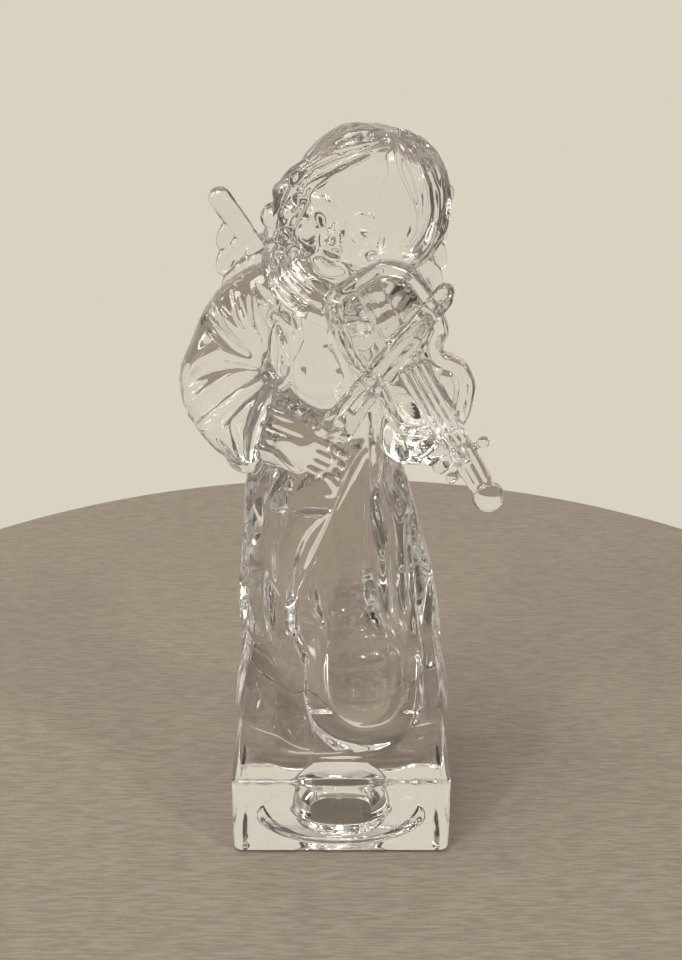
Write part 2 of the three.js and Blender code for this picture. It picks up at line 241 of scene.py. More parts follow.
class Egg:
    def __init__(self, centre, radii, turn=None):
        self.centre = np.array(centre, float)
        self.radii = np.array(radii if np.ndim(radii) else (radii,) * 3, float)
        self.turn = np.eye(3) if turn is None else turn

    def bounds(self):
        reach = np.sqrt(((self.turn * self.radii) ** 2).sum(1))
        return self.centre - reach, self.centre + reach

    def distance(self, x, y, z):
        dx, dy, dz = x - self.centre[0], y - self.centre[1], z - self.centre[2]
        near, slope = 0, 0
        for axis, radius in zip(self.turn.T, self.radii):
            q = axis[0] * dx + axis[1] * dy + axis[2] * dz
            near = near + (q / radius) ** 2
            slope = slope + (q / radius**2) ** 2
        near, slope = np.sqrt(near), np.sqrt(slope)
        return near * (near - 1) / np.maximum(slope, 1e-4)


class Rod:
    """A round rod through rows of (x, y, z, radius)."""

    def __init__(self, points, steps=6):
        self.points = spline(points, steps)

    def bounds(self):
        reach = self.points[:, 3].max()
        return self.points[:, :3].min(0) - reach, self.points[:, :3].max(0) + reach

    def distance(self, x, y, z):
        out = np.full(np.broadcast_shapes(x.shape, y.shape, z.shape), FAR, np.float32)
        for a, b in zip(self.points, self.points[1:]):
            reach = max(a[3], b[3]) + MARGIN + 1
            cut = []
            for axis, places in enumerate((x, y, z)):
                flat = places.ravel()
                first = np.searchsorted(flat, min(a[axis], b[axis]) - reach)
                last = np.searchsorted(flat, max(a[axis], b[axis]) + reach)
                cut.append(slice(first, last))
            cut = tuple(cut)
            local = segment(x[cut[0]], y[:, cut[1]], z[:, :, cut[2]], a, b)
            out[cut] = np.minimum(out[cut], local)
        return out


def segment(x, y, z, a, b):
    """Distance to a round cone from a to b, each (x, y, z, radius)."""
    run = b[:3] - a[:3]
    t = ((x - a[0]) * run[0] + (y - a[1]) * run[1] + (z - a[2]) * run[2]) / max(run @ run, 1e-9)
    t = np.clip(t, 0, 1)
    dx, dy, dz = x - a[0] - t * run[0], y - a[1] - t * run[1], z - a[2] - t * run[2]
    return np.sqrt(dx * dx + dy * dy + dz * dz) - (a[3] + (b[3] - a[3]) * t)


# ---------------------------------------------------------------- places from the frame
plinth_low, plinth_high = box_of("plinth")
robe_low, robe_high = box_of("robe")
PLINTH_HALF = (plinth_high[0] - plinth_low[0]) / 2
PLINTH_HEIGHT = 24.0
HOLLOW_RING = (24.6, 24.6, 3.0)  # radii of the shallow dish under the plinth
HOLLOW_WELL = (15.0, 15.0)  # radius and height of the steep well inside it
FOOT_TOP = robe_low[2]
GUSSET_TOP = plinth_high[2]
WAIST = robe_high[2]

# The robe's level outlines, which the tunic carries on above the waist:
# height: (x, y, half width, half depth, squareness)
BODY = {
    22: (0.0, 0.0, 31.0, 31.0, 3.9),
    FOOT_TOP: (0.0, 0.0, 30.4, 30.4, 4.6),
    40: (0.2, 0.0, 29.9, 29.4, 6.8),
    52: (0.3, 0.0, 29.2, 27.4, 4.8),
    64: (0.0, 0.0, 27.8, 24.6, 3.0),
    78: (-1.5, 0.0, 26.0, 22.0, 2.6),
    92: (-3.5, 0.0, 23.6, 19.4, 2.3),
    WAIST: (-5.0, 0.0, 21.4, 17.2, 2.0),
    118: (-4.0, 0.0, 20.3, 16.8, 2.0),
    132: (-2.0, 0.0, 20.0, 16.8, 2.0),
    146: (-1.0, 1.0, 20.0, 15.6, 2.0),
    157: (0.0, 2.0, 18.6, 13.6, 2.0),
    164: (0.0, 2.0, 14.0, 11.0, 2.0),
    169: (0.0, 1.0, 8.0, 8.0, 2.0),
}


def body_level(z):
    """x, y, half width, half depth and squareness of the body's outline at an array of heights."""
    return [along([(h, row[i]) for h, row in BODY.items()], z) for i in range(5)]


def body_distance(x, y, z):
    cx, cy, rx, ry, n = body_level(z)
    dx, dy = x - cx, y - cy
    reach = np.sqrt(dx * dx + dy * dy) + 1e-3
    share = (np.abs(dx / rx) ** n + np.abs(dy / ry) ** n) ** (1 / n)
    return (reach - reach / np.maximum(share, 1e-3)) * 0.93


def body_angle(x, z):
    """Angle round the body, in radians from the front towards +X, of a place x on the front at height z."""
    cx, _, rx, ry, n = body_level(np.array(z, float))
    across = np.clip((x - cx) / rx, -0.999, 0.999)
    return np.arctan2(x - cx, ry * (1 - np.abs(across) ** n) ** (1 / n))


def on_body(x, z, out=0.0):
    """The point of the body's front at x and height z, pushed out by some millimetres."""
    cx, cy, rx, ry, n = body_level(np.array(z, float))
    across = np.clip((x - cx) / rx, -0.999, 0.999)
    y = cy - ry * (1 - np.abs(across) ** n) ** (1 / n)
    away = unit(vec(x - cx, y - cy))
    return vec(x + away[0] * out, y + away[1] * out, z)


def round_body(points):
    """The (angle, height) points round the body of a path of (x, height) points on its front."""
    return [(float(body_angle(x, h)), h) for x, h in points]


def body_rod(rows, steps=6):
    """A rod through rows of (x, height, millimetres out from the body's front, radius)."""
    return Rod([np.append(on_body(x, z, out), radius) for x, z, out, radius in rows], steps)


class Drape:
    """Relief laid on the body: folds given by their path on the front, as (x, height) points."""

    def __init__(self, lump):
        self.z = lump.z
        cx, cy, rx, ry, _ = body_level(lump.z)
        self.angle = np.arctan2(lump.x - cx, -(lump.y - cy))
        self.radius = (rx + ry) / 2
        self.relief = np.zeros_like(lump.d)

    def off(self, path):
        """Millimetres round the body from a path of (angle, height) points, and how far inside its ends."""
        place = along([(h, a) for a, h in path], self.z)
        heights = [h for _, h in path]
        turn = (self.angle - place + np.pi) % (2 * np.pi) - np.pi
        ends = np.minimum(self.z - min(heights), max(heights) - self.z)
        return turn * self.radius, ends

    def fold(self, path, width, height, fade=6.0):
        off, ends = self.off(path)
        self.relief += height * np.exp(-((off / width) ** 2)) * ramp(ends, -1.0, fade)

    def front(self, points, width, height, fade=6.0):
        self.fold(round_body(points), width, height, fade)

    def step(self, points, width, height, reach, fade=6.0):
        """A laid-over edge: the cloth on the -X side of the path stands proud and slopes off over reach."""
        off, ends = self.off(round_body(points))
        edge = ramp(-off, -width, width) * (1 - ramp(-off, 0.3 * reach, reach))
        self.relief += height * edge * ramp(ends, -1.0, fade)


def pleat(turns):
    """A row of rounded ridges with sharp valleys between them: 1 on a crest, 0 in a valley."""
    return np.sqrt(np.abs(np.cos(turns / 2)))


class Frame:
    """A local frame: u, v and w are millimetres along the three columns of axes."""

    def __init__(self, origin, axes):
        self.origin = np.array(origin, float)
        self.axes = np.array(axes, float)

    def local(self, x, y, z):
        dx, dy, dz = x - self.origin[0], y - self.origin[1], z - self.origin[2]
        return [a[0] * dx + a[1] * dy + a[2] * dz for a in self.axes.T]

    def at(self, u, v, w, radius=None):
        place = self.origin + self.axes @ vec(u, v, w)
        return place if radius is None else np.append(place, radius)

    def rod(self, points, steps=6):
        return Rod([self.at(*p) for p in points], steps)

    def egg(self, centre, radii, turn=None):
        return Egg(self.at(*centre), radii, self.axes if turn is None else self.axes @ turn)

    def slab(self, low, high, rounding):
        return Slab(self, low, high, rounding)


class Slab:
    """A block with rounded edges, square to a local frame."""

    def __init__(self, frame_of, low, high, rounding):
        self.frame = frame_of
        self.middle = (vec(*low) + vec(*high)) / 2
        self.half = (vec(*high) - vec(*low)) / 2 - rounding
        self.rounding = rounding

    def bounds(self):
        middle = self.frame.at(*self.middle)
        reach = np.abs(self.frame.axes) @ (self.half + self.rounding)
        return middle - reach, middle + reach

    def distance(self, x, y, z):
        q = [np.abs(p - m) - h for p, m, h in zip(self.frame.local(x, y, z), self.middle, self.half)]
        outside = np.sqrt(sum(np.maximum(p, 0) ** 2 for p in q))
        return outside + np.minimum(np.maximum(np.maximum(q[0], q[1]), q[2]), 0) - self.rounding


class Torus:
    """A ring of round section, flat in a local frame's u and v."""

    def __init__(self, frame_of, ring, radius, height=0.0):
        self.frame = frame_of
        self.ring = ring
        self.radius = radius
        self.height = height

    def bounds(self):
        middle = self.frame.at(0, 0, self.height)
        reach = self.ring + self.radius
        return middle - reach, middle + reach

    def distance(self, x, y, z):
        u, v, w = self.frame.local(x, y, z)
        return np.sqrt((np.sqrt(u * u + v * v) - self.ring) ** 2 + (w - self.height) ** 2) - self.radius


# ---------------------------------------------------------------- the clay of each element
def block_distance(x, y, z, half, top, corner, edge):
    """A square block from the ground to top, with round upright corners and rounded edges."""
    qx, qy = np.abs(x) - half + corner, np.abs(y) - half + corner
    side = corner_distance(qx, qy) - corner
    lid = np.abs(z - top / 2) - top / 2
    side, lid = side + edge, lid + edge
    return corner_distance(side, lid) - edge


def plinth_clay(grid):
    lump = Lump(grid, (-34, -34, -2), (34, 34, GUSSET_TOP + 3))
    lump.join(block_distance(lump.x, lump.y, lump.z, PLINTH_HALF, PLINTH_HEIGHT, 3.0, 1.2), 0.4)
    # a steep pyramid stump, whose four corners rise from the block and run out on the robe
    share = np.clip((lump.z - PLINTH_HEIGHT) / (GUSSET_TOP - PLINTH_HEIGHT), 0, 1)
    stump = block_distance(lump.x, lump.y, lump.z, 29.9 - 2.9 * share, GUSSET_TOP, 0.6, 0.4)
    lump.join(stump, 0.5)
    foot = smooth_max(gown_distance(lump), lump.z - FOOT_TOP, 0.3)
    lump.join(smooth_max(foot, PLINTH_HEIGHT - 3 - lump.z, 0.4), 0.5)
    lump.carve(Egg((0, 0, 0), HOLLOW_RING), 0.6)
    across = np.sqrt(lump.x**2 + lump.y**2) + 0.06 * np.maximum(lump.z, 0)
    well = smooth_max(across - HOLLOW_WELL[0], lump.z - HOLLOW_WELL[1], 11.0)
    lump.d = smooth_max(lump.d, -well, 1.0).astype(np.float32)
    return lump


def robe_folds(drape):
    """The skirt's folds, each as (x on the front, height) points from the top down."""
    edge = [(6, 120), (-0.8, 111.6), (-4, 104.5), (-7.5, 98), (-9.4, 92), (-11.6, 82.8), (-12.7, 77.8)]
    edge += [(-12.6, 68.9), (-9.8, 61.4), (-7.8, 55.7), (-7.3, 47.1), (-7.5, 33.1)]
    drape.step(edge, 0.5, 2.8, 10.0, 2.0)
    drape.front([(6, 118), (0.6, 107), (-3.4, 98), (-6.6, 86), (-7.4, 78), (-5, 70), (-5.2, 60)], 1.1, 1.2)
    drape.front([(-9.4, 77), (-6.8, 73.4), (-4.8, 68.6), (-6.6, 61.4), (-7.2, 56)], 0.8, 1.2, 3.0)
    plain = (  # width, height and path of each
        (1.2, 1.9, [(9.6, 121.5), (9.8, 97.8), (11.8, 82.8), (12.6, 73.1), (17.2, 67.2)]),
        (1.6, 0.7, [(7.4, 119), (5.8, 104), (4.2, 90), (3.4, 80), (3.6, 74)]),
        (1.0, 1.6, [(12.3, 114), (14.7, 99.9), (16.2, 88.5), (17.0, 78), (18.2, 69)]),
        (0.9, 1.4, [(13.8, 108), (16.6, 96), (18.8, 84), (19.8, 74), (20.6, 66)]),
        (1.3, 1.6, [(16, 111.6), (18.6, 101.8), (21.6, 92.3), (23.6, 80.8), (24.6, 66), (25.2, 46)]),
        (1.0, 1.5, [(19.6, 72), (21.4, 62), (21.8, 50), (21.0, 40)]),
        (1.0, -1.2, [(17.8, 64), (18.8, 54), (18.6, 42)]),
        (1.1, 1.3, [(-13.4, 112), (-14.4, 100), (-14.8, 90), (-15.6, 80)]),
        (1.0, -1.6, [(-10.4, 110), (-11.6, 100), (-13.2, 92), (-13.9, 84)]),
        (0.9, 1.2, [(-15.8, 100), (-17.2, 88), (-17.6, 76), (-17.4, 64)]),
        (1.0, -0.8, [(9.4, 112), (8, 98), (8.6, 84), (9.8, 74)]),
        (1.6, 0.9, [(1, 152), (2, 138), (3.5, 122)]),
        (1.2, 1.5, [(-12.6, 128), (-11.6, 117), (-12.8, 98), (-13.6, 84)]),
        (1.2, 1.3, [(-16, 126), (-16.6, 116), (-18.4, 94), (-19.6, 70)]),
        (1.2, 1.2, [(7, 133), (8.2, 121), (9.6, 104), (10.8, 88)]),
    )
    for width, height, path in plain:
        drape.front(path, width, height)


def tongue(drape):
    """The mantle's corner: a wedge of cloth over the right thigh, which hangs from the belt and thins out."""
    left, _ = drape.off(round_body([(-19.5, 116), (-18.6, 100), (-17.4, 86), (-13.6, 75)]))
    right, _ = drape.off(round_body([(3.0, 116), (-2.0, 104), (-8.0, 88), (-13.0, 75)]))
    inside = ramp(left, -0.6, 1.2) * ramp(-right, -0.6, 1.2)
    wedge = np.clip((drape.z - 74) / 30, 0, 1) * (1 - ramp(drape.z, 104, 119))
    drape.relief += 6.6 * wedge * inside


def back_folds(drape, top, bottom):
    """Plain hanging folds round the back and the flanks, which the arms and the mantle don't cover."""
    behind = ramp(np.abs(drape.angle), 1.6, 2.2)
    run = ramp(drape.z, bottom - 6, bottom + 22) * (1 - ramp(drape.z, top - 18, top + 4))
    sway = 0.03 * np.sin((drape.z - bottom) / 23.0)
    drape.relief += behind * run * 1.3 * (pleat(7 * (drape.angle + sway)) - 0.7)


def gown_distance(lump):
    """The robe and the tunic as one dress from the foot to the neck, with all its folds."""
    drape = Drape(lump)
    robe_folds(drape)
    tongue(drape)
    back_folds(drape, 150, 44)
    left = 41.6 - 0.28 * (lump.x + 29)  # the overskirt's hem ends on its edge, and the inner hem hangs lower
    inner = 33.0 + 8.5 * ramp(lump.x, -3, 24)
    hem = np.where(lump.x < -7.4, left, inner)
    front = 1 - ramp(np.abs(drape.angle), 1.2, 1.8)
    hem = hem * front + (1 - front) * (37 + 1.5 * np.sin(drape.angle * 9))
    edge = 1.8 - 1.2 * front
    cloth = ramp(lump.z, hem - edge, hem + edge) * (1 - ramp(lump.z, hem + 3, hem + 16))
    drape.relief += (0.5 + 0.9 * front) * cloth - 0.8 * (1 - ramp(lump.z, 50, 90))
    return body_distance(lump.x, lump.y, lump.z) - drape.relief


def robe_clay(grid):
    lump = Lump(grid, robe_low - 4, robe_high + vec(4, 4, 1))
    lump.join(gown_distance(lump), 0.4)
    # x, height, how far it stands out, radius
    knee = [(3.4, 96, -1.2, 4.0), (4.6, 84, 0.6, 7.0), (5.6, 72, 2.4, 9.6)]
    knee += [(6.5, 60, 3.8, 12.0), (6.8, 54, 4.2, 12.6), (6.8, 49.5, 3.8, 12.4)]
    lump.add(body_rod([(x, z, out - radius, radius) for x, z, out, radius in knee]), 0.5)
    lump.settle()
    under = [(-5.6, 68), (-7.2, 57), (-6.4, 48), (-2.6, 41.4), (3.4, 37.8)]
    under += [(10.4, 38.0), (16.2, 41.4), (19.6, 48), (20.4, 58)]
    lump.groove(under, 4.0, 0.44, 1.4)
    lump.d = np.where((lump.z > WAIST) | (lump.z < FOOT_TOP), FAR, lump.d).astype(np.float32)
    return lump


def mantle_clay(grid, side):
    """The hanging edge of the mantle down one flank, a band of zigzag folds that ends in a point."""
    if side < 0:
        path = [(-21.0, -4.5, 110, 4.6), (-23.3, -4.5, 90, 4.3), (-25.4, -5, 70, 4.0), (-26.9, -6, 52, 1.6)]
    else:
        path = [(14.5, -4, 104, 4.2), (19.3, -4.5, 86, 4.2), (24.0, -4.5, 68, 3.8), (27.9, -4, 53, 1.6)]
    lump = lump_for(grid, "mantle_edge_right" if side < 0 else "mantle_edge_left")
    lump.add(Rod(path, 8), 0.5)
    first = np.array(path)[:, :3]
    folds = 5
    for i in range(folds):
        share = (i + 0.5) / folds
        place = vec(*[np.interp(share, np.linspace(0, 1, len(first)), first[:, k]) for k in range(3)])
        radius = np.interp(share, [0, 1], [3.2, 1.5])
        start = place + vec(-side * 2.6, -2.6, 5.0)
        end = place + vec(side * 1.8, -2.0, -6.0)
        lump.add(Rod([np.append(start, radius * 0.6), np.append(place + vec(side, -3.2, 0), radius * 0.75),
                      np.append(end, radius * 0.4)]), 0.7)
    return lump


def torso_clay(grid):
    lump = lump_for(grid, "torso", 5, 4)
    lump.join(gown_distance(lump), 0.4)
    # the bib: a soft tongue of cloth with a round end
    lump.add(body_rod([(-7.0, 156, -2.0, 5.4), (-6.2, 146, -1.8, 6.6), (-5.9, 138.6, -1.8, 7.2)]), 0.3)
    lump.settle()
    bib = [(-9.8, 150), (-12.2, 144), (-13.8, 138), (-12.8, 132.2), (-9.2, 129.6)]
    bib += [(-4.6, 129.4), (-0.2, 130.8), (2.0, 135.4), (1.0, 141.0), (-1.8, 146.6)]
    lump.groove(bib, 1.8, 0.5, 0.3)
    angles = np.linspace(0, 2 * np.pi, 13)
    oval = [(-15.6 + 4.2 * math.cos(t), 143.5 + 8.6 * math.sin(t), 0.5, 1.4) for t in angles]
    lump.add(body_rod(oval, 3), 0.3)
    lump.ridge([(-16.2, 149), (-15.0, 144), (-16.0, 138)], 1.3, 0.5)
    lump.ridge([(-13.6, 148), (-13.9, 143), (-13.4, 139)], 0.9, 0.5)
    for shift in range(4):
        line = [(-14.5 + 3.4 * shift, 158), (-12.2 + 2.8 * shift, 154), (-11.4 + 2.4 * shift, 149.5)]
        lump.ridge(line, 1.0, 0.5)
    lump.ridge([(5, 152), (4, 142), (6, 130)], 1.9, 0.5)
    lump.ridge([(8.6, 146), (8.2, 137), (9.6, 127)], 1.6, 0.5)
    lump.ridge([(-2.4, 130), (0.6, 124.6), (2.0, 118)], 1.3, 0.5)
    lump.ridge([(-19.8, 163.5), (-20.8, 157), (-21.6, 151)], 1.2, 0.5)
    lump.d = np.where(lump.z < WAIST, FAR, lump.d).astype(np.float32)
    return lump


def fan(lump, hub, start, end, folds, height, near, far):
    """Folds that radiate from a hub line along Y, between two directions in degrees."""
    dx, dz = lump.x - hub[0], lump.z - hub[1]
    reach = np.sqrt(dx * dx + dz * dz)
    turn = (np.degrees(np.arctan2(dz, dx)) - start) % 360
    span = (end - start) % 360
    inside = ramp(turn, 0, 10) * (1 - ramp(turn, span - 10, span))
    bend = 0.12 * np.sin(reach / 5.0)
    wave = pleat(2 * np.pi * folds * (turn / span + bend / folds)) - 0.66
    lump.raise_by(height * wave * inside * ramp(reach, near, near + 6) * (1 - ramp(reach, far, far + 8)))


def sleeve_right_clay(grid):
    lump = lump_for(grid, "sleeve_right")
    lump.add(Rod([(-14, 2, 158, 8.2), (-25, 1, 150, 10.3), (-32, -2, 134, 11.3)], 8), 1.5)
    lump.add(Rod([(-31, -4, 130, 11.7), (-26, -8, 125, 11.8)], 8), 1.5)
    lump.add(Rod([(-27, -7, 122, 10.0), (-25.8, -7, 114, 5.6)], 4), 1.8)
    lump.settle()
    # folds gather in the crook of the elbow and run out on the outer edge
    lump.ridge([(-38.6, 137.8), (-35.3, 141.3), (-30.1, 143.1), (-25, 141.5), (-20.7, 138)], 2.6)
    lump.ridge([(-39.8, 129.8), (-35.6, 132.2), (-31, 135.6), (-25, 138.0), (-19.6, 136.8)], 2.3)
    lump.ridge([(-37.2, 123.6), (-33, 127.4), (-28, 131.7), (-22.4, 134.6), (-16.2, 135.2)], 2.5)
    lump.ridge([(-32.6, 154.6), (-28.6, 150.0), (-24.6, 144.9), (-22.3, 139.6)], 1.9)
    lump.ridge([(-27.6, 157.6), (-25.9, 152.0), (-23.0, 146.0), (-21.4, 139.6)], 1.5)
    lump.ridge([(-23.2, 158.6), (-22.6, 152.0), (-20.8, 146), (-20.2, 139.2)], 1.4)
    lump.groove([(-37.6, 152.2), (-33.4, 149.2), (-28.4, 145.4), (-24.2, 142.4)], 2.0)
    lump.groove([(-39.8, 134.9), (-36.4, 137.5), (-31.4, 139.3), (-26, 139.4), (-21, 137.4)], 1.0)
    lump.groove([(-37.4, 127.2), (-33.3, 130.4), (-28.4, 134.4), (-20.6, 136.2)], 1.0)
    lump.groove([(-33.4, 123.0), (-29.5, 128.2), (-25.0, 132.4), (-19.6, 134.2)], 1.2)
    # the forearm comes out of the wide cuff, whose rim curves down from the crook
    lump.add(Rod([(-23, -9, 124.6, 9.8), (-16, -14, 123.4, 9.6), (-9.5, -17.2, 122.0, 7.6)], 6), 0.6)
    lump.settle()
    rim = [(-15.6, 136.2), (-19.3, 132.6), (-21.9, 127.2), (-23.3, 121.7), (-23.8, 115.0)]
    lump.ridge(rim, 2.0, 0.6, 0.4)
    lump.ridge([(-22.4, 121.6), (-17.4, 120.2), (-13.6, 116.2), (-10.6, 114.4), (-4.1, 113.6)], 1.5, 0.5, 0.4)
    lump.ridge([(-19.6, 131), (-15, 129.4), (-9.6, 127.6)], 1.6, 0.35, 0.4)
    lump.groove([(-21.0, 127.6), (-15.8, 126.2), (-9.0, 124.0)], 1.0)
    lump.ridge([(-31.6, 121.6), (-28.6, 116.6), (-26.4, 111.6)], 1.5)
    lump.ridge([(-28.0, 126.6), (-26.4, 119.6), (-25.2, 112.4)], 1.5)
    return lump


def sleeve_left_clay(grid):
    lump = lump_for(grid, "sleeve_left")
    lump.add(Rod([(13, 3, 158, 8.6), (15.5, 2, 146, 9.2), (16.5, 0, 132, 9.6)], 8), 1.5)
    lump.add(Rod([(16, 0, 128, 9.6), (19, -9, 120, 8.2)], 4), 1.5)
    fan(lump, (9.0, 138.0), 250, 80, 6, 1.4, 4.0, 20.0)
    return lump


COLLAR_FRAME = Frame((-1, -3.5, 162.5), turned(26, 19))


def collar_clay(grid):
    lump = lump_for(grid, "collar", 6)
    for ring, height, radius in ((12.6, 3.6, 2.0), (15.2, 1.2, 2.0), (17.8, -1.4, 2.0)):
        lump.add(Torus(COLLAR_FRAME, ring, radius, height), 0.4)
    u, v, w = COLLAR_FRAME.local(lump.x, lump.y, lump.z)
    lump.raise_by(0.4 * (pleat(9 * np.arctan2(u, -v) + w / 2.5) - 0.7))
    return lump


# ---------------------------------------------------------------- head
HEAD_AT = vec(4, -3, 179.5)
HEAD_LEAN = 20.6  # degrees that the crown leans to the figure's left
HEAD = Frame(HEAD_AT, turned(0, HEAD_LEAN))
FACE = Frame(HEAD_AT, turned(0, HEAD_LEAN) @ turned(12, 0, -13))


def head_clay(grid):
    lump = lump_for(grid, "head", 5)
    lump.add(Rod([(0, 0, 158, 8), (1, 0, 168, 8.5)]), 1.0)
    lump.add(HEAD.egg((0, 0, 0), (15.3, 14.6, 16.3)), 1.0)
    lump.add(FACE.egg((0, -3.8, -5.6), (12.4, 10.4, 11.8)), 2.0)
    lump.add(FACE.egg((0, -9.0, -13.4), (4.8, 4.2, 3.8)), 2.0)
    for s in (-1, 1):
        lump.add(FACE.egg((s * 6.4, -9.4, -7.6), (4.9, 4.5, 4.5)), 1.8)
    for s in (-1, 1):
        lump.carve(FACE.egg((s * 5.6, -17.2, -1.4), (4.4, 2.7, 2.3)), 2.2)
    for s in (-1, 1):
        lump.add(FACE.egg((s * 5.5, -12.0, -2.0), (3.2, 2.3, 2.1)), 0.8)
        lash = [(s * 8.4, -12.4, -2.6, 0.4), (s * 5.5, -14.5, -3.8, 0.5), (s * 2.9, -13.9, -2.9, 0.3)]
        lump.carve(FACE.rod(lash), 0.4)
        brow = [(s * 9.0, -11.2, 1.9, 0.5), (s * 5.8, -13.6, 3.2, 0.7), (s * 2.8, -14.2, 2.4, 0.5)]
        lump.add(FACE.rod(brow), 1.2)
    lump.add(FACE.rod([(0, -13.6, 1.4, 1.0), (0, -14.7, -2.9, 1.2), (0, -15.7, -6.0, 1.5)]), 1.6)
    for s in (-1, 1):
        lump.add(FACE.egg((s * 1.5, -14.6, -6.5), (1.0, 1.1, 0.9)), 0.9)
    lump.add(FACE.egg((0, -13.7, -9.5), (2.5, 1.4, 0.8)), 0.8)
    lump.add(FACE.egg((0, -13.5, -11.0), (2.0, 1.4, 0.9)), 0.8)
    lump.carve(FACE.rod([(-2.6, -13.8, -10.1, 0.3), (0, -15.0, -10.3, 0.4), (2.6, -13.8, -10.1, 0.3)]), 0.4)
    return lump


def hair_clay(grid):
    lump = lump_for(grid, "hair")
    lump.add(HEAD.egg((2.9, 3.5, 2.1), (19.4, 17.6, 18.6)), 1.0)
    lump.add(HEAD.egg((7.2, 1.0, 0.6), (16.2, 14.4, 17.0)), 2.0)
    lump.add(HEAD.egg((-12.2, 2.0, -4.8), (6.6, 10.6, 10.6)), 2.0)
    # plain locks fall from the crown over the sides and the back
    u, v, w = HEAD.local(lump.x, lump.y, lump.z)
    crown = vec(-1.0, -1.0)
    reach = np.sqrt((u - crown[0]) ** 2 + (v - crown[1]) ** 2)
    fall = np.arctan2(reach, w + 4)
    turn = np.arctan2(u - crown[0], -(v - crown[1]))
    swirl = turn + 0.7 * fall * np.sign(turn) * (1 - 0.3 * fall)
    uneven = swirl + 0.22 * np.sin(2.3 * swirl + 0.9)
    behind = ramp(fall, 0.1, 0.55) * ramp(v, -9.0, 1.0)
    lump.raise_by(behind * (1.9 * (pleat(8 * uneven) - 0.64) + 0.5 * (pleat(24 * uneven) - 0.6)))
    lump.settle()
    # locks of the fringe, swept down from the parting on either side
    lump.ridge([(10.4, 197.6), (6.0, 197.4), (1.2, 196.0), (-4.6, 193.0)], 1.9)
    lump.ridge([(12.2, 197.0), (4.6, 195.0), (-2.9, 192.6), (-9.4, 188.2)], 2.2)
    fringe = [(11.0, 194.4), (4.4, 192.6), (-2.4, 188.9), (-7.6, 184.9), (-10.2, 179.2), (-11.4, 172.4)]
    lump.ridge(fringe, 2.0)
    lump.ridge([(-8.6, 190.2), (-12.6, 186.4), (-15.4, 181.6), (-16.6, 176.4)], 1.9)
    lump.groove([(10.6, 196.6), (5.0, 196.0), (-0.8, 194.4), (-7.0, 190.8)], 0.9)
    lump.groove([(11.6, 195.7), (4.8, 193.8), (-2.6, 190.8), (-8.6, 186.2), (-12.4, 180.4)], 0.8)
    lump.ridge([(12.6, 196.4), (13.4, 188.7), (16.4, 181.6), (17.6, 176.5), (15.6, 171.8)], 1.7)
    lump.groove([(13.8, 197.6), (19.9, 190.4), (22.8, 182.9), (22.4, 175.6), (17.9, 169.8)], 2.2, 0.4)
    lump.groove([(13.4, 196.4), (17.6, 189.6), (19.6, 182.6), (19.2, 176.0)], 1.0)
    lump.ridge([(16.2, 197.0), (22.4, 192.4), (25.6, 184.2), (25.3, 175.4), (21.6, 168.8)], 1.9)
    lump.groove([(18.4, 196.0), (24.4, 191.4), (26.6, 183.8), (26.2, 176.0)], 0.9)
    for shift in (0.0, 1.7, 3.4):
        lump.ridge([(26.6 - shift, 176.4), (25.2 - shift, 171.6), (22.4 - shift, 167.0)], 1.0, 0.5, 0.3)
    curls = [(-17.2, 176.0, 3.6), (-14.2, 171.9, 3.2), (-17.4, 171.2, 3.0), (-14.2, 182.6, 3.2)]
    curls += [(-13.0, 178.2, 3.0), (-10.8, 186.4, 2.4), (-9.6, 182.0, 2.2)]
    for x, z, radius in curls:
        y = min(lump.front(x, z), 2.0) + 1.0
        lump.add(Egg((x, y, z), radius), 0.5)
        for size in (0.8, 0.42):
            coil = Torus(Frame((x, y, z), turned(75, 0, -30)), radius * size, 0.3, radius * 0.75)
            lump.carve(coil, 0.4)
    lump.carve(FACE.egg((0.4, -17.6, -5.4), (12.8, 13.4, 15.4)), 0.6)
    return lump


# ---------------------------------------------------------------- hands
def hand_right_clay(grid):
    lump = lump_for(grid, "hand_right")
    lump.add(Egg((-7.5, -19.4, 118.5), (6.4, 3.6, 4.8), turned(0, 17)), 1.0)
    for i in range(4):
        drop = 2.7 * i
        lump.add(Rod([(-8.4, -21.6, 124.0 - drop, 1.5), (-4, -23.6, 122.5 - drop, 1.6),
                      (1.4 - 0.9 * i, -23.6, 119.4 - drop, 1.3)]), 0.3)
    lump.add(Rod([(-6, -22, 125.5, 1.7), (-1.5, -24.5, 126.2, 1.5), (1.6, -25, 124.8, 1.2)]), 0.3)
    return lump


def hand_left_clay(grid):
    lump = lump_for(grid, "hand_left")
    lump.add(Egg((21, -13.5, 119), (6.4, 3.4, 5.2), turned(0, -28)), 1.0)
    lump.add(Egg((27.6, -15.6, 118.5), (4.8, 3.4, 4.4), turned(0, -28)), 1.0)
    for i in range(4):
        knuckle = vec(21.4 + 2.7 * i, -19.6, 124.6 - 2.4 * i)
        lump.add(Rod([np.append(knuckle + vec(-3.4, 3.4, -4.0), 2.0), np.append(knuckle, 1.8),
                      np.append(knuckle + vec(2.6, -2.2, 1.4), 1.5)]), 0.3)
    lump.add(Rod([(15.5, -16, 117, 2.2), (14.6, -19.5, 122, 1.8), (16.5, -21, 125, 1.5)]), 0.4)
    return lump


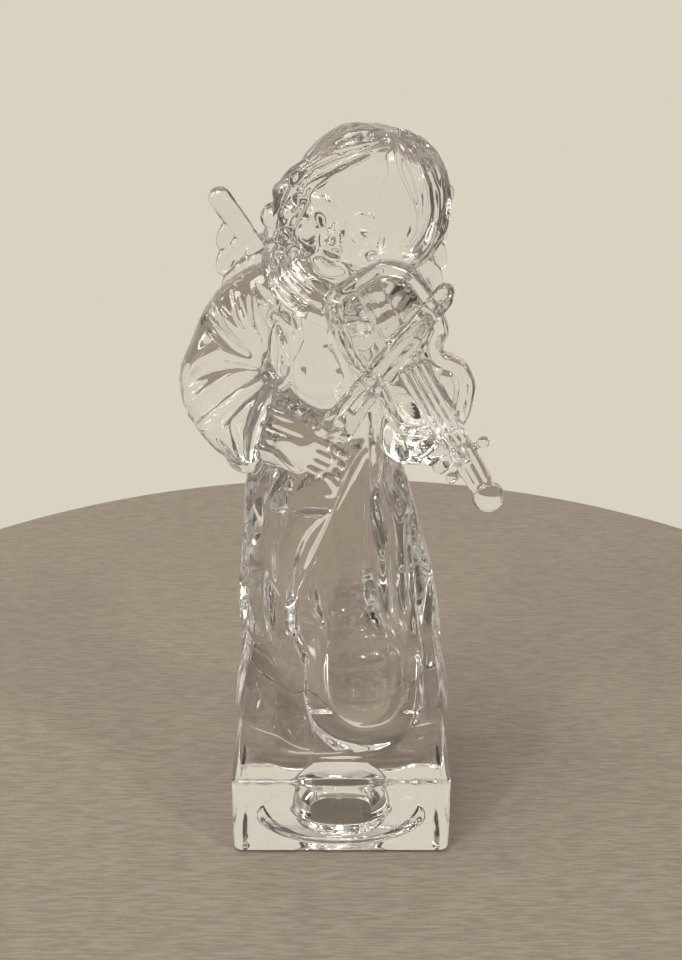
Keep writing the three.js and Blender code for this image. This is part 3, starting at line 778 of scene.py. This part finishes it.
# ---------------------------------------------------------------- wings
def wing_clay(grid, side):
    """A short wing: a thick leading edge with a blunt end, and rows of rounded feathers under it."""
    sweep = 16.0 if side < 0 else 38.0
    outwards = turned(0, 0, side * sweep) @ vec(side, 0, 0)
    upwards = vec(0, 0, 1)
    plane = Frame((side * 8, 13.5, 148), np.column_stack([outwards, upwards, np.cross(outwards, upwards)]))
    lump = lump_for(grid, "wing_right" if side < 0 else "wing_left")
    lump.add(plane.egg((8, -3, 0), (10, 13.0, 1.5)), 0.8)
    lump.add(plane.egg((16, 9, 0), (8.5, 12.5, 1.3)), 0.8)
    # (out, up, lean) of the long quills at the edge, and of two shorter rows over their roots
    quills = [(24.0, 20.4, -58), (24.6, 13.4, -64), (23.4, 6.6, -70), (20.4, 0.4, -76), (16.4, -5.0, -82)]
    quills += [(11.8, -9.6, -88), (7.6, -13.0, -94)]
    middle = [(20.0, 17.4, -56), (19.4, 10.6, -62), (17.0, 4.4, -70), (13.4, -0.8, -78), (9.4, -5.0, -86)]
    short = [(15.4, 12.6, -54), (13.4, 6.4, -64), (10.0, 1.2, -74)]
    thick_rows = ((2.2, quills), (3.1, middle), (4.0, short))
    feathers = [(*place, thick) for thick, row in thick_rows for place in row]
    for u, v, lean, thick in feathers:
        lump.add(plane.egg((u, v, 0), (5.4, 2.7, thick), turned(0, 0, lean)), 0.05)
    for face in (-1, 1):
        for u, v, lean, thick in feathers:
            run = vec(math.cos(math.radians(lean)), math.sin(math.radians(lean)))
            shaft = [
                (u + run[0] * t, v + run[1] * t, face * thick * fall, 0.4)
                for t, fall in ((-3, 0.95), (0.5, 1.05), (4, 0.75))
            ]
            lump.carve(plane.rod(shaft), 0.3)
    leading_edge = [(3, 1, 0, 2.6), (10, 9.6, 0, 2.8), (17, 18.0, 0, 2.9), (26.0, 29.6, 0, 3.2)]
    lump.add(plane.rod(leading_edge, 8), 0.15)
    return lump


# ---------------------------------------------------------------- violin
VIOLIN_TAIL = vec(5, -16.5, 166)
DIP, FORWARD = math.radians(60), math.radians(5)
VIOLIN_DEPTH = 6.0
down = vec(math.cos(DIP), 0, -math.sin(DIP))
outward = vec(0, -1, 0)
VIOLIN = Frame(
    VIOLIN_TAIL,
    np.column_stack(
        [
            down * math.cos(FORWARD) + outward * math.sin(FORWARD),
            vec(math.sin(DIP), 0, math.cos(DIP)),
            outward * math.cos(FORWARD) - down * math.sin(FORWARD),
        ]
    ),
)
LOWER, UPPER = 13.5, 12.0  # half widths of the two bouts
# half widths along the violin, on its two sides; the left one is fuller at the waist
VIOLIN_RIGHT = [(-0.2, 0.0), (0, 0.42 * LOWER), (5, 0.84 * LOWER), (13, 0.97 * LOWER), (20.5, 0.93 * LOWER)]
VIOLIN_RIGHT += [(23.6, 0.86 * LOWER), (25.5, 9.2), (27.5, 8.3), (29.8, 10.2), (32.4, 0.97 * UPPER)]
VIOLIN_RIGHT += [(37.5, 0.95 * UPPER), (42.5, 0.68 * UPPER), (46, 0.36 * UPPER), (46.2, 0.0)]
VIOLIN_LEFT = [(-0.2, 0.0), (0, 0.6 * LOWER), (4, 0.9 * LOWER), (13, 1.04 * LOWER), (20.5, 1.03 * LOWER)]
VIOLIN_LEFT += [(26, 0.93 * LOWER), (30, 12.2), (36, 12.6)]
VIOLIN_LEFT += [(41, 0.92 * UPPER), (46, 0.4 * UPPER), (46.2, 0.0)]


class Outline:
    """Signed distance to the violin's outline, tabled on a fine net."""

    def __init__(self, right, left, pitch=0.4):
        right, left = spline(right, 8), spline(left, 8)
        edge = np.vstack([right, left[::-1] * vec(1, -1)])
        edge = np.vstack([edge, edge[:1]])
        self.pitch = pitch
        self.low = edge.min(0) - 6
        top = edge.max(0) + 6
        uu, vv = np.meshgrid(*(np.arange(self.low[k], top[k], pitch) for k in (0, 1)), indexing="ij")
        best = np.full(uu.shape, 99.0)
        for a, b in zip(edge, edge[1:]):
            run = b - a
            t = np.clip(((uu - a[0]) * run[0] + (vv - a[1]) * run[1]) / max(run @ run, 1e-9), 0, 1)
            best = np.minimum(best, np.hypot(uu - a[0] - t * run[0], vv - a[1] - t * run[1]))
        upper = np.interp(uu, right[:, 0], right[:, 1], left=-99, right=-99)
        lower = np.interp(uu, left[:, 0], left[:, 1], left=-99, right=-99)
        self.table = np.where((vv < upper) & (-vv < lower), -best, best)

    def distance(self, u, v):
        pu = np.clip((u - self.low[0]) / self.pitch, 0, self.table.shape[0] - 1.001)
        pv = np.clip((v - self.low[1]) / self.pitch, 0, self.table.shape[1] - 1.001)
        i, j = pu.astype(int), pv.astype(int)
        fu, fv = pu - i, pv - j
        t = self.table
        near = (t[i, j] * (1 - fu) + t[i + 1, j] * fu) * (1 - fv)
        return near + (t[i, j + 1] * (1 - fu) + t[i + 1, j + 1] * fu) * fv


def violin_clay(grid):
    lump = lump_for(grid, "violin_body", 5)
    u, v, w = VIOLIN.local(lump.x, lump.y, lump.z)
    rim = Outline(VIOLIN_RIGHT, VIOLIN_LEFT).distance(u, v)
    inside = -rim
    # the top plate: a raised rim, a channel inside it, and the arch
    top = VIOLIN_DEPTH - 0.5 + 1.0 * np.exp(-(((inside - 1.3) / 1.0) ** 2))
    top = top - 0.8 * np.exp(-(((inside - 3.6) / 0.9) ** 2))
    top = top + 1.3 * (1 - np.exp(-np.maximum(inside - 3, 0) / 5.0))
    rounding = 0.8
    side = rim + rounding
    lid = np.abs(w - top / 2) - top / 2 + rounding
    plate = corner_distance(side, lid) - rounding
    lump.join(plate * 0.9, 0.4)
    for s in (-1, 1):
        hole = ((16.5, 5.4, 1.1), (19.0, 5.0, 0.9), (22.5, 6.0, 0.9), (26.0, 7.0, 0.9), (28.5, 6.2, 1.1))
        lump.carve(VIOLIN.rod([(u_at, s * v_at, 7.2, radius) for u_at, v_at, radius in hole]), 0.3)
    return lump


def clay_of(grid, node, shapes, soft=0.5):
    lump = lump_for(grid, node)
    for shape in shapes:
        lump.add(shape, soft)
    return lump


def tailpiece_clay(grid):
    shapes = [VIOLIN.slab((3, -3.0, 4), (17, 3.0, 7.6), 0.8)]
    shapes += [VIOLIN.rod([(3.6, v, 7.4, 0.7), (16.4, v, 7.4, 0.7)]) for v in (-2.2, -0.75, 0.75, 2.2)]
    return clay_of(grid, "tailpiece", shapes, 0.3)


def bridge_clay(grid):
    return clay_of(grid, "bridge", [VIOLIN.slab((20.5, -4.4, 4), (22.4, 4.4, 8.2), 0.7)])


def fingerboard_clay(grid):
    return clay_of(grid, "fingerboard", [VIOLIN.slab((26, -3.4, 4), (50, 3.4, 7.4), 0.9)])


def pegbox_clay(grid):
    shapes = [VIOLIN.slab((50.6, -3.3, 0.5), (63.5, 3.3, 5.2), 1.2)]
    shapes += [VIOLIN.rod([(51.4, v, 5.2, 1.0), (62.6, v * 0.8, 5.2, 1.0)]) for v in (-2.5, 0, 2.5)]
    return clay_of(grid, "pegbox", shapes, 0.4)


def string_clay(grid, index):
    v = (index - 2.5) * 1.7
    shapes = [VIOLIN.rod([(17, v, 8.3, 0.55), (49, v, 7.9, 0.55)])]
    return clay_of(grid, f"string_{index}", shapes)


def scroll_clay(grid):
    ball = VIOLIN.at(66.5, 0, 3)
    curl = Frame(ball, VIOLIN.axes @ turned(90, 0, 0))
    lump = clay_of(grid, "scroll", [Egg(ball, 4.2)])
    for side in (-1, 1):
        lump.carve(Torus(curl, 2.5, 0.3, side * 3.3), 0.4)
    return lump


def peg_clay(grid, node, place, side):
    neck = (place, side * 3.0, 3, 1.0)
    grip = VIOLIN.egg((place, side * 5.8, 3), (1.5, 1.7, 2.1))
    return clay_of(grid, node, [VIOLIN.rod([neck, (place, side * 4.4, 3, 0.9)]), grip])


# ---------------------------------------------------------------- bow
BOW_TIP, BOW_GRIP = vec(25, -26.5, 163), vec(-5, -26, 127)


def on_bow(share, offset, radius):
    place = BOW_TIP + (BOW_GRIP - BOW_TIP) * share
    return (place[0] + 0.78 * offset, place[1], place[2] - 0.62 * offset, radius)


def bow_clay(grid, node, rows):
    """A rod of the bow, through rows of (share of the bow's length, offset from its line, radius)."""
    return clay_of(grid, node, [Rod([on_bow(*row) for row in rows])])


BOW = {
    "bow_stick": ((0, 0.2, 2.3), (0.45, -0.1, 1.8), (1, -0.2, 1.8)),
    "bow_hair": ((0.03, 2.1, 1.4), (0.5, 2.9, 1.4), (0.93, 5.4, 1.7)),
    "bow_frog": ((0.8, 1.4, 1.4), (0.86, 4.0, 1.5)),
}

# From back to front: an element takes the glass inside it from those before it.
ELEMENTS = [
    ("plinth", plinth_clay, 1.2),
    ("robe", robe_clay, 1.2),
    ("mantle_edge_left", lambda grid: mantle_clay(grid, 1), 1.4),
    ("mantle_edge_right", lambda grid: mantle_clay(grid, -1), 1.4),
    ("torso", torso_clay, 0.6),
    ("sleeve_left", sleeve_left_clay, 1.2),
    ("sleeve_right", sleeve_right_clay, 1.2),
    ("wing_left", lambda grid: wing_clay(grid, 1), 1.0),
    ("wing_right", lambda grid: wing_clay(grid, -1), 1.0),
    ("hair", hair_clay, 0.8),
    ("collar", collar_clay, 1.0),
    ("head", head_clay, 0.7),
    ("violin_body", violin_clay, 0.6),
    ("hand_right", hand_right_clay, 0.6),
    ("hand_left", hand_left_clay, 0.6),
    ("pegbox", pegbox_clay, 0.5),
    ("scroll", scroll_clay, 0.5),
    ("peg_right", lambda grid: peg_clay(grid, "peg_right", 57.5, -1), 0.5),
    ("peg_left", lambda grid: peg_clay(grid, "peg_left", 53, 1), 0.5),
    ("fingerboard", fingerboard_clay, 0.4),
    ("tailpiece", tailpiece_clay, 0.4),
    ("bridge", bridge_clay, 0.4),
    ("string_4", lambda grid: string_clay(grid, 4), 0.3),
    ("string_3", lambda grid: string_clay(grid, 3), 0.3),
    ("string_2", lambda grid: string_clay(grid, 2), 0.3),
    ("string_1", lambda grid: string_clay(grid, 1), 0.3),
    ("bow_hair", lambda grid: bow_clay(grid, "bow_hair", BOW["bow_hair"]), 0.5),
    ("bow_frog", lambda grid: bow_clay(grid, "bow_frog", BOW["bow_frog"]), 0.6),
    ("bow_stick", lambda grid: bow_clay(grid, "bow_stick", BOW["bow_stick"]), 0.5),
]


# ---------------------------------------------------------------- from clay to closed meshes
def blurred(field):
    """One pass of a 1-2-1 filter along each axis: the soft edges of fire-polished glass."""
    for axis in range(3):
        middle = cut_along(axis, 1, -1)
        out = field.copy()
        before, after = field[cut_along(axis, 0, -2)], field[cut_along(axis, 2, None)]
        out[middle] = 0.25 * before + 0.5 * field[middle] + 0.25 * after
        field = out
    return field


def sculpt():
    """The whole casting: its distance field, and the number of the element that each place belongs to."""
    low, high = np.array(cad_box[0]) / MM, np.array(cad_box[1]) / MM
    grid = Grid(low - 3 * STEP - 0.5, high + 3 * STEP + 0.5)
    field = np.full(grid.shape, FAR, np.float32)
    nearest = np.full(grid.shape, FAR, np.float32)
    owner = np.zeros(grid.shape, np.int8)
    own = 0.25  # an element owns its own inside and this much round it
    for number, (_, clay, soft) in enumerate(ELEMENTS):
        lump = clay(grid)
        field[lump.cut] = smooth_min(field[lump.cut], lump.d, soft)
        taken = lump.d < np.maximum(nearest[lump.cut], own)
        owner[lump.cut][taken] = number
        nearest[lump.cut][taken] = lump.d[taken]
    x, y, z = grid.axes[0][:, None, None], grid.axes[1][None, :, None], grid.axes[2][None, None, :]
    # the mould leaves the small forms of the upper half uneven
    ripple = np.sin(x / 1.5 + 1.3 * np.sin(z / 3.1)) * np.sin(y / 1.7 + 0.4)
    ripple = ripple * np.sin(z / 1.6 + 1.1 * np.sin(x / 2.7))
    field = field + 0.16 * ramp(z, 100, 125) * ripple.astype(np.float32)
    return grid, blurred(field), owner


def sampled(field, places):
    """The field between its grid points, at places counted in grid steps."""
    top = np.array(field.shape) - 1.001
    p = np.clip(places, 0, top)
    i = p.astype(np.int64)
    f = p - i
    out = 0
    for dx in (0, 1):
        for dy in (0, 1):
            for dz in (0, 1):
                share = (f[:, 0] if dx else 1 - f[:, 0]) * (f[:, 1] if dy else 1 - f[:, 1])
                share = share * (f[:, 2] if dz else 1 - f[:, 2])
                out = out + share * field[i[:, 0] + dx, i[:, 1] + dy, i[:, 2] + dz]
    return out


def slope(field, places):
    """Gradient of the field for each grid step."""
    out = np.empty((len(places), 3))
    for axis in range(3):
        ahead, behind = places.copy(), places.copy()
        ahead[:, axis] += 0.75
        behind[:, axis] -= 0.75
        out[:, axis] = (sampled(field, ahead) - sampled(field, behind)) / 1.5
    return out


def scraps(label, inside, steps):
    """Which of the inside places aren't joined to the biggest body of their own label."""
    index = np.full(label.size, -1, np.int32)
    index[inside] = np.arange(len(inside), dtype=np.int32)
    one, two = [], []
    for step in steps:
        same = inside[label[inside] == label[inside + step]]
        one.append(index[same])
        two.append(index[same + step])
    one, two = np.concatenate(one), np.concatenate(two)
    root = np.arange(len(inside), dtype=np.int32)
    while len(one):
        differ = root[one] != root[two]
        one, two = one[differ], two[differ]
        root[np.maximum(root[one], root[two])] = np.minimum(root[one], root[two])
        while True:
            jumped = root[root]
            if np.array_equal(jumped, root):
                break
            root = jumped
    size = np.bincount(root, minlength=len(inside))
    kept = np.zeros(len(inside), bool)
    roots = np.flatnonzero(size)
    for number in np.unique(label[inside]):
        mine = roots[label[inside[roots]] == number]
        kept[mine[np.argmax(size[mine])]] = True
    return ~kept[root], index


def gather_scraps(label, field):
    """Gives each scrap of an element to the element that it lies in, and drops a scrap that lies in none."""
    steps = (label.shape[1] * label.shape[2], label.shape[2], 1)
    flat = label.ravel()
    inside = np.flatnonzero(flat)
    stray, index = scraps(flat, inside, steps)
    while stray.any():
        at = inside[stray]
        new = np.zeros(len(at), flat.dtype)
        for step in steps + tuple(-step for step in steps):
            beside = at + step
            sound = (flat[beside] != 0) & ~stray[index[beside]] & (new == 0)
            new[sound] = flat[beside[sound]]
        if not new.any():
            flat[at] = 0
            field.ravel()[at] = 0.1
            break
        flat[at[new > 0]] = new[new > 0]
        stray[index[at[new > 0]]] = False


def fill_pits(label, field):
    """Fills each air place with glass on five or six sides, which is a bubble or a pinhole."""
    flat, depth = label.ravel(), field.ravel()
    steps = (label.shape[1] * label.shape[2], label.shape[2], 1)
    for _ in range(2):
        edge = np.zeros(label.shape, bool)
        edge[1:-1, 1:-1, 1:-1] = (label[1:-1, 1:-1, 1:-1] == 0) & (label[:-2, 1:-1, 1:-1] != 0)
        at = np.flatnonzero(edge)
        glass = sum((flat[at + way * step] != 0).astype(int) for step in steps for way in (-1, 1))
        at = at[glass >= 5]
        flat[at] = flat[at - steps[0]]
        depth[at] = -0.1


class Skin:
    """Every face between the glass and the air, and between one element and the next (surface nets)."""

    def __init__(self, grid, field, owner):
        label = np.ascontiguousarray(np.where(field < 0, owner + 1, 0).astype(np.int8))
        field = np.ascontiguousarray(field)
        fill_pits(label, field)
        gather_scraps(label, field)
        shape = field.shape
        strides = np.array([shape[1] * shape[2], shape[2], 1])
        quads, labels, crossings, airy = [], [], [], []
        for axis in range(3):
            near, far = cut_along(axis, 0, -1), cut_along(axis, 1, None)
            place = np.column_stack(np.nonzero(label[near] != label[far]))
            ahead = place.copy()
            ahead[:, axis] += 1
            one, two = label[tuple(place.T)], label[tuple(ahead.T)]
            f1, f2 = field[tuple(place.T)].astype(float), field[tuple(ahead.T)].astype(float)
            air = (one == 0) | (two == 0)
            share = np.where(air, f1 / np.where(air, f1 - f2, 1), 0.5)
            crossing = place.astype(float)
            crossing[:, axis] += share
            base = place @ strides
            b, c = strides[(axis + 1) % 3], strides[(axis + 2) % 3]
            quads.append(np.column_stack([base - b - c, base - c, base, base - b]))
            labels.append(np.column_stack([one, two]))
            crossings.append(crossing)
            airy.append(air)
        quads, self.labels = np.concatenate(quads), np.concatenate(labels)
        crossings, airy = np.concatenate(crossings), np.concatenate(airy)
        cells, corner = np.unique(quads.ravel(), return_inverse=True)
        self.quads = corner.reshape(quads.shape)
        weight = np.repeat(np.where(airy, 1.0, 1e-6), 4)
        corners = self.quads.ravel()
        total = np.bincount(corners, weight, len(cells))
        pulls = [weight * np.repeat(crossings[:, k], 4) for k in range(3)]
        places = np.column_stack([np.bincount(corners, pull, len(cells)) / total for pull in pulls])
        outside = np.bincount(corners, np.repeat(airy.astype(float), 4), len(cells)) > 0
        steps = places[outside]
        for _ in range(2):
            tilt = slope(field, steps)
            move = sampled(field, steps) / np.maximum((tilt * tilt).sum(1), 0.01)
            steps = steps - np.clip(move[:, None] * tilt, -0.4, 0.4)
        places[outside] = steps
        self.normals = np.zeros_like(places)
        tilt = slope(field, steps)
        self.normals[outside] = tilt / np.maximum(np.linalg.norm(tilt, axis=1, keepdims=True), 1e-6)
        self.places = (grid.start + places * STEP) * MM

    def piece(self, number):
        """Vertices, normals, faces turned outwards, and which faces are seams, of one element."""
        mine = number + 1
        faces, seams = [], []
        for side in (0, 1):
            chosen = self.labels[:, side] == mine
            quads = self.quads[chosen]
            faces.append(quads if side == 0 else quads[:, ::-1])
            seams.append(self.labels[chosen, 1 - side] != 0)
        faces, seams = np.concatenate(faces), np.concatenate(seams)
        used, corners = np.unique(faces.ravel(), return_inverse=True)
        return self.places[used], self.normals[used], corners.reshape(faces.shape), seams


def mesh_object(name, places, normals, faces, seams, materials):
    mesh = bpy.data.meshes.new(name)
    mesh.vertices.add(len(places))
    mesh.vertices.foreach_set("co", places.astype(np.float32).ravel())
    mesh.loops.add(faces.size)
    mesh.loops.foreach_set("vertex_index", faces.astype(np.int32).ravel())
    mesh.polygons.add(len(faces))
    mesh.polygons.foreach_set("loop_start", np.arange(0, faces.size, 4, dtype=np.int32))
    for material in materials:
        mesh.materials.append(material)
    mesh.polygons.foreach_set("material_index", seams.astype(np.int32))
    mesh.update(calc_edges=True)
    mesh.validate()
    mesh.shade_smooth()
    mesh.normals_split_custom_set_from_vertices(normals.astype(np.float32))
    made = bpy.data.objects.new(name, mesh)
    bpy.context.scene.collection.objects.link(made)
    return made


# ---------------------------------------------------------------- materials
def principled(name, **sockets):
    material = bpy.data.materials.new(name)
    material.use_nodes = True
    shader = material.node_tree.nodes["Principled BSDF"]
    for socket, value in sockets.items():
        shader.inputs[socket.replace("_", " ")].default_value = value
    return material, shader


def crystal_material():
    """Clear, fire-polished glass, with the faint ripple of a pressed surface."""
    material, shader = principled(
        "crystal",
        Base_Color=(0.985, 0.99, 0.98, 1),
        Roughness=0.0,
        IOR=1.52,
        Transmission_Weight=1.0,
    )
    nodes, links = material.node_tree.nodes, material.node_tree.links
    place = nodes.new("ShaderNodeTexCoord")
    ripple = nodes.new("ShaderNodeTexNoise")
    ripple.inputs["Scale"].default_value = 130.0
    ripple.inputs["Detail"].default_value = 1.0
    bump = nodes.new("ShaderNodeBump")
    bump.inputs["Strength"].default_value = 0.12
    bump.inputs["Distance"].default_value = 0.0006
    links.new(place.outputs["Object"], ripple.inputs["Vector"])
    links.new(ripple.outputs["Fac"], bump.inputs["Height"])
    links.new(bump.outputs["Normal"], shader.inputs["Normal"])
    return material


def seam_material():
    """The face where one element runs into the next, inside the glass: nothing shows there."""
    material = bpy.data.materials.new("seam")
    material.use_nodes = True
    nodes, links = material.node_tree.nodes, material.node_tree.links
    nodes.clear()
    clear = nodes.new("ShaderNodeBsdfTransparent")
    output = nodes.new("ShaderNodeOutputMaterial")
    links.new(clear.outputs["BSDF"], output.inputs["Surface"])
    return material


# ---------------------------------------------------------------- stage, light and camera
def floor_material():
    material, shader = principled("pale_floor", Roughness=0.5)
    nodes, links = material.node_tree.nodes, material.node_tree.links
    place = nodes.new("ShaderNodeTexCoord")
    stretch = nodes.new("ShaderNodeMapping")
    stretch.inputs["Scale"].default_value = (160, 1400, 30)
    grain = nodes.new("ShaderNodeTexNoise")
    grain.inputs["Scale"].default_value = 1.0
    grain.inputs["Detail"].default_value = 4.0
    tone = nodes.new("ShaderNodeValToRGB")
    tone.color_ramp.elements[0].position = 0.38
    tone.color_ramp.elements[0].color = (0.205, 0.174, 0.143, 1)
    tone.color_ramp.elements[1].position = 0.62
    tone.color_ramp.elements[1].color = (0.275, 0.235, 0.196, 1)
    links.new(place.outputs["Object"], stretch.inputs["Vector"])
    links.new(stretch.outputs["Vector"], grain.inputs["Vector"])
    links.new(grain.outputs["Fac"], tone.inputs["Fac"])
    links.new(tone.outputs["Color"], shader.inputs["Base Color"])
    return material


def make_floor():
    """A round, plain, pale top that the statuette stands on."""
    radius, thickness = 0.236, 0.02
    gap = 0.0004  # the air left under the glass
    bpy.ops.mesh.primitive_cylinder_add(
        vertices=160, radius=radius, depth=thickness, location=(0, 0.022, -thickness / 2 - gap)
    )
    floor = bpy.context.object
    floor.name = "floor"
    edge = floor.modifiers.new("edge", "BEVEL")
    edge.width, edge.segments, edge.limit_method = 0.004, 4, "ANGLE"
    floor.data.shade_smooth()
    floor.data.materials.append(floor_material())


def make_world():
    """A plain room by direction: a pale wall behind, a grey ceiling, and dim sides and front."""
    world = bpy.data.worlds.new("room")
    bpy.context.scene.world = world
    world.use_nodes = True
    nodes, links = world.node_tree.nodes, world.node_tree.links
    place = nodes.new("ShaderNodeTexCoord")
    apart = nodes.new("ShaderNodeSeparateXYZ")
    links.new(place.outputs["Generated"], apart.inputs["Vector"])

    def blend(colour, axis, low, high, other):
        share = nodes.new("ShaderNodeMapRange")
        share.interpolation_type = "SMOOTHSTEP"
        share.inputs["From Min"].default_value = low
        share.inputs["From Max"].default_value = high
        links.new(apart.outputs[axis], share.inputs["Value"])
        mix = nodes.new("ShaderNodeMix")
        mix.data_type = "RGBA"
        links.new(share.outputs["Result"], mix.inputs["Factor"])
        if isinstance(colour, tuple):
            mix.inputs["A"].default_value = colour
        else:
            links.new(colour, mix.inputs["A"])
        mix.inputs["B"].default_value = other
        return mix.outputs["Result"]

    front_to_side = blend((0.05, 0.044, 0.038, 1), "Y", -0.35, 0.25, (0.15, 0.135, 0.116, 1))
    with_ceiling = blend(front_to_side, "Z", 0.5, 0.85, (0.5, 0.46, 0.4, 1))
    with_wall = blend(with_ceiling, "Y", 0.42, 0.62, (0.70, 0.645, 0.535, 1))
    links.new(with_wall, nodes["Background"].inputs["Color"])
    nodes["Background"].inputs["Strength"].default_value = 1.0


def area_light(name, place, aim, size, watts, colour=(1, 0.95, 0.88)):
    data = bpy.data.lights.new(name, "AREA")
    data.shape = "RECTANGLE"
    data.size, data.size_y = size
    data.energy = watts
    data.color = colour
    light = bpy.data.objects.new(name, data)
    bpy.context.scene.collection.objects.link(light)
    light.location = place
    light.rotation_euler = (Vector(aim) - Vector(place)).to_track_quat("-Z", "Y").to_euler()


def make_lights():
    middle = (0, 0, 0.1)
    area_light("ceiling", (-0.3, -0.3, 1.6), middle, (0.7, 0.7), 17)
    area_light("lamp", (0.9, -0.7, 1.2), middle, (0.1, 0.1), 6)
    area_light("second_lamp", (-0.8, -0.9, 1.3), middle, (0.1, 0.1), 5)
    area_light("strip", (-1.2, 0.1, 0.6), middle, (0.12, 0.7), 3)


def make_camera():
    data = bpy.data.cameras.new("camera")
    data.lens, data.sensor_width = 45.0, 36.0
    data.dof.use_dof = False
    camera = bpy.data.objects.new("camera", data)
    bpy.context.scene.collection.objects.link(camera)
    camera.location = (0, -0.311, 0.230)
    camera.rotation_euler = (math.radians(90 - 22.2), 0, 0)
    bpy.context.scene.camera = camera


def set_light_paths():
    """Light crosses many glass faces and seams before it leaves the casting."""
    scene = bpy.context.scene
    scene.cycles.max_bounces = 28
    scene.cycles.transmission_bounces = 28
    scene.cycles.glossy_bounces = 12
    scene.cycles.transparent_max_bounces = 128
    scene.view_settings.view_transform = "Standard"


def main():
    make_camera()
    make_floor()
    make_world()
    make_lights()
    set_light_paths()
    materials = [crystal_material(), seam_material()]
    skin = Skin(*sculpt())
    for number, (node, _, _) in enumerate(ELEMENTS):
        places, normals, faces, seams = skin.piece(number)
        piece = mesh_object(f"glass_{node}", places, normals, faces, seams, materials)
        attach(piece, "root")
        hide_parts(node)


main()
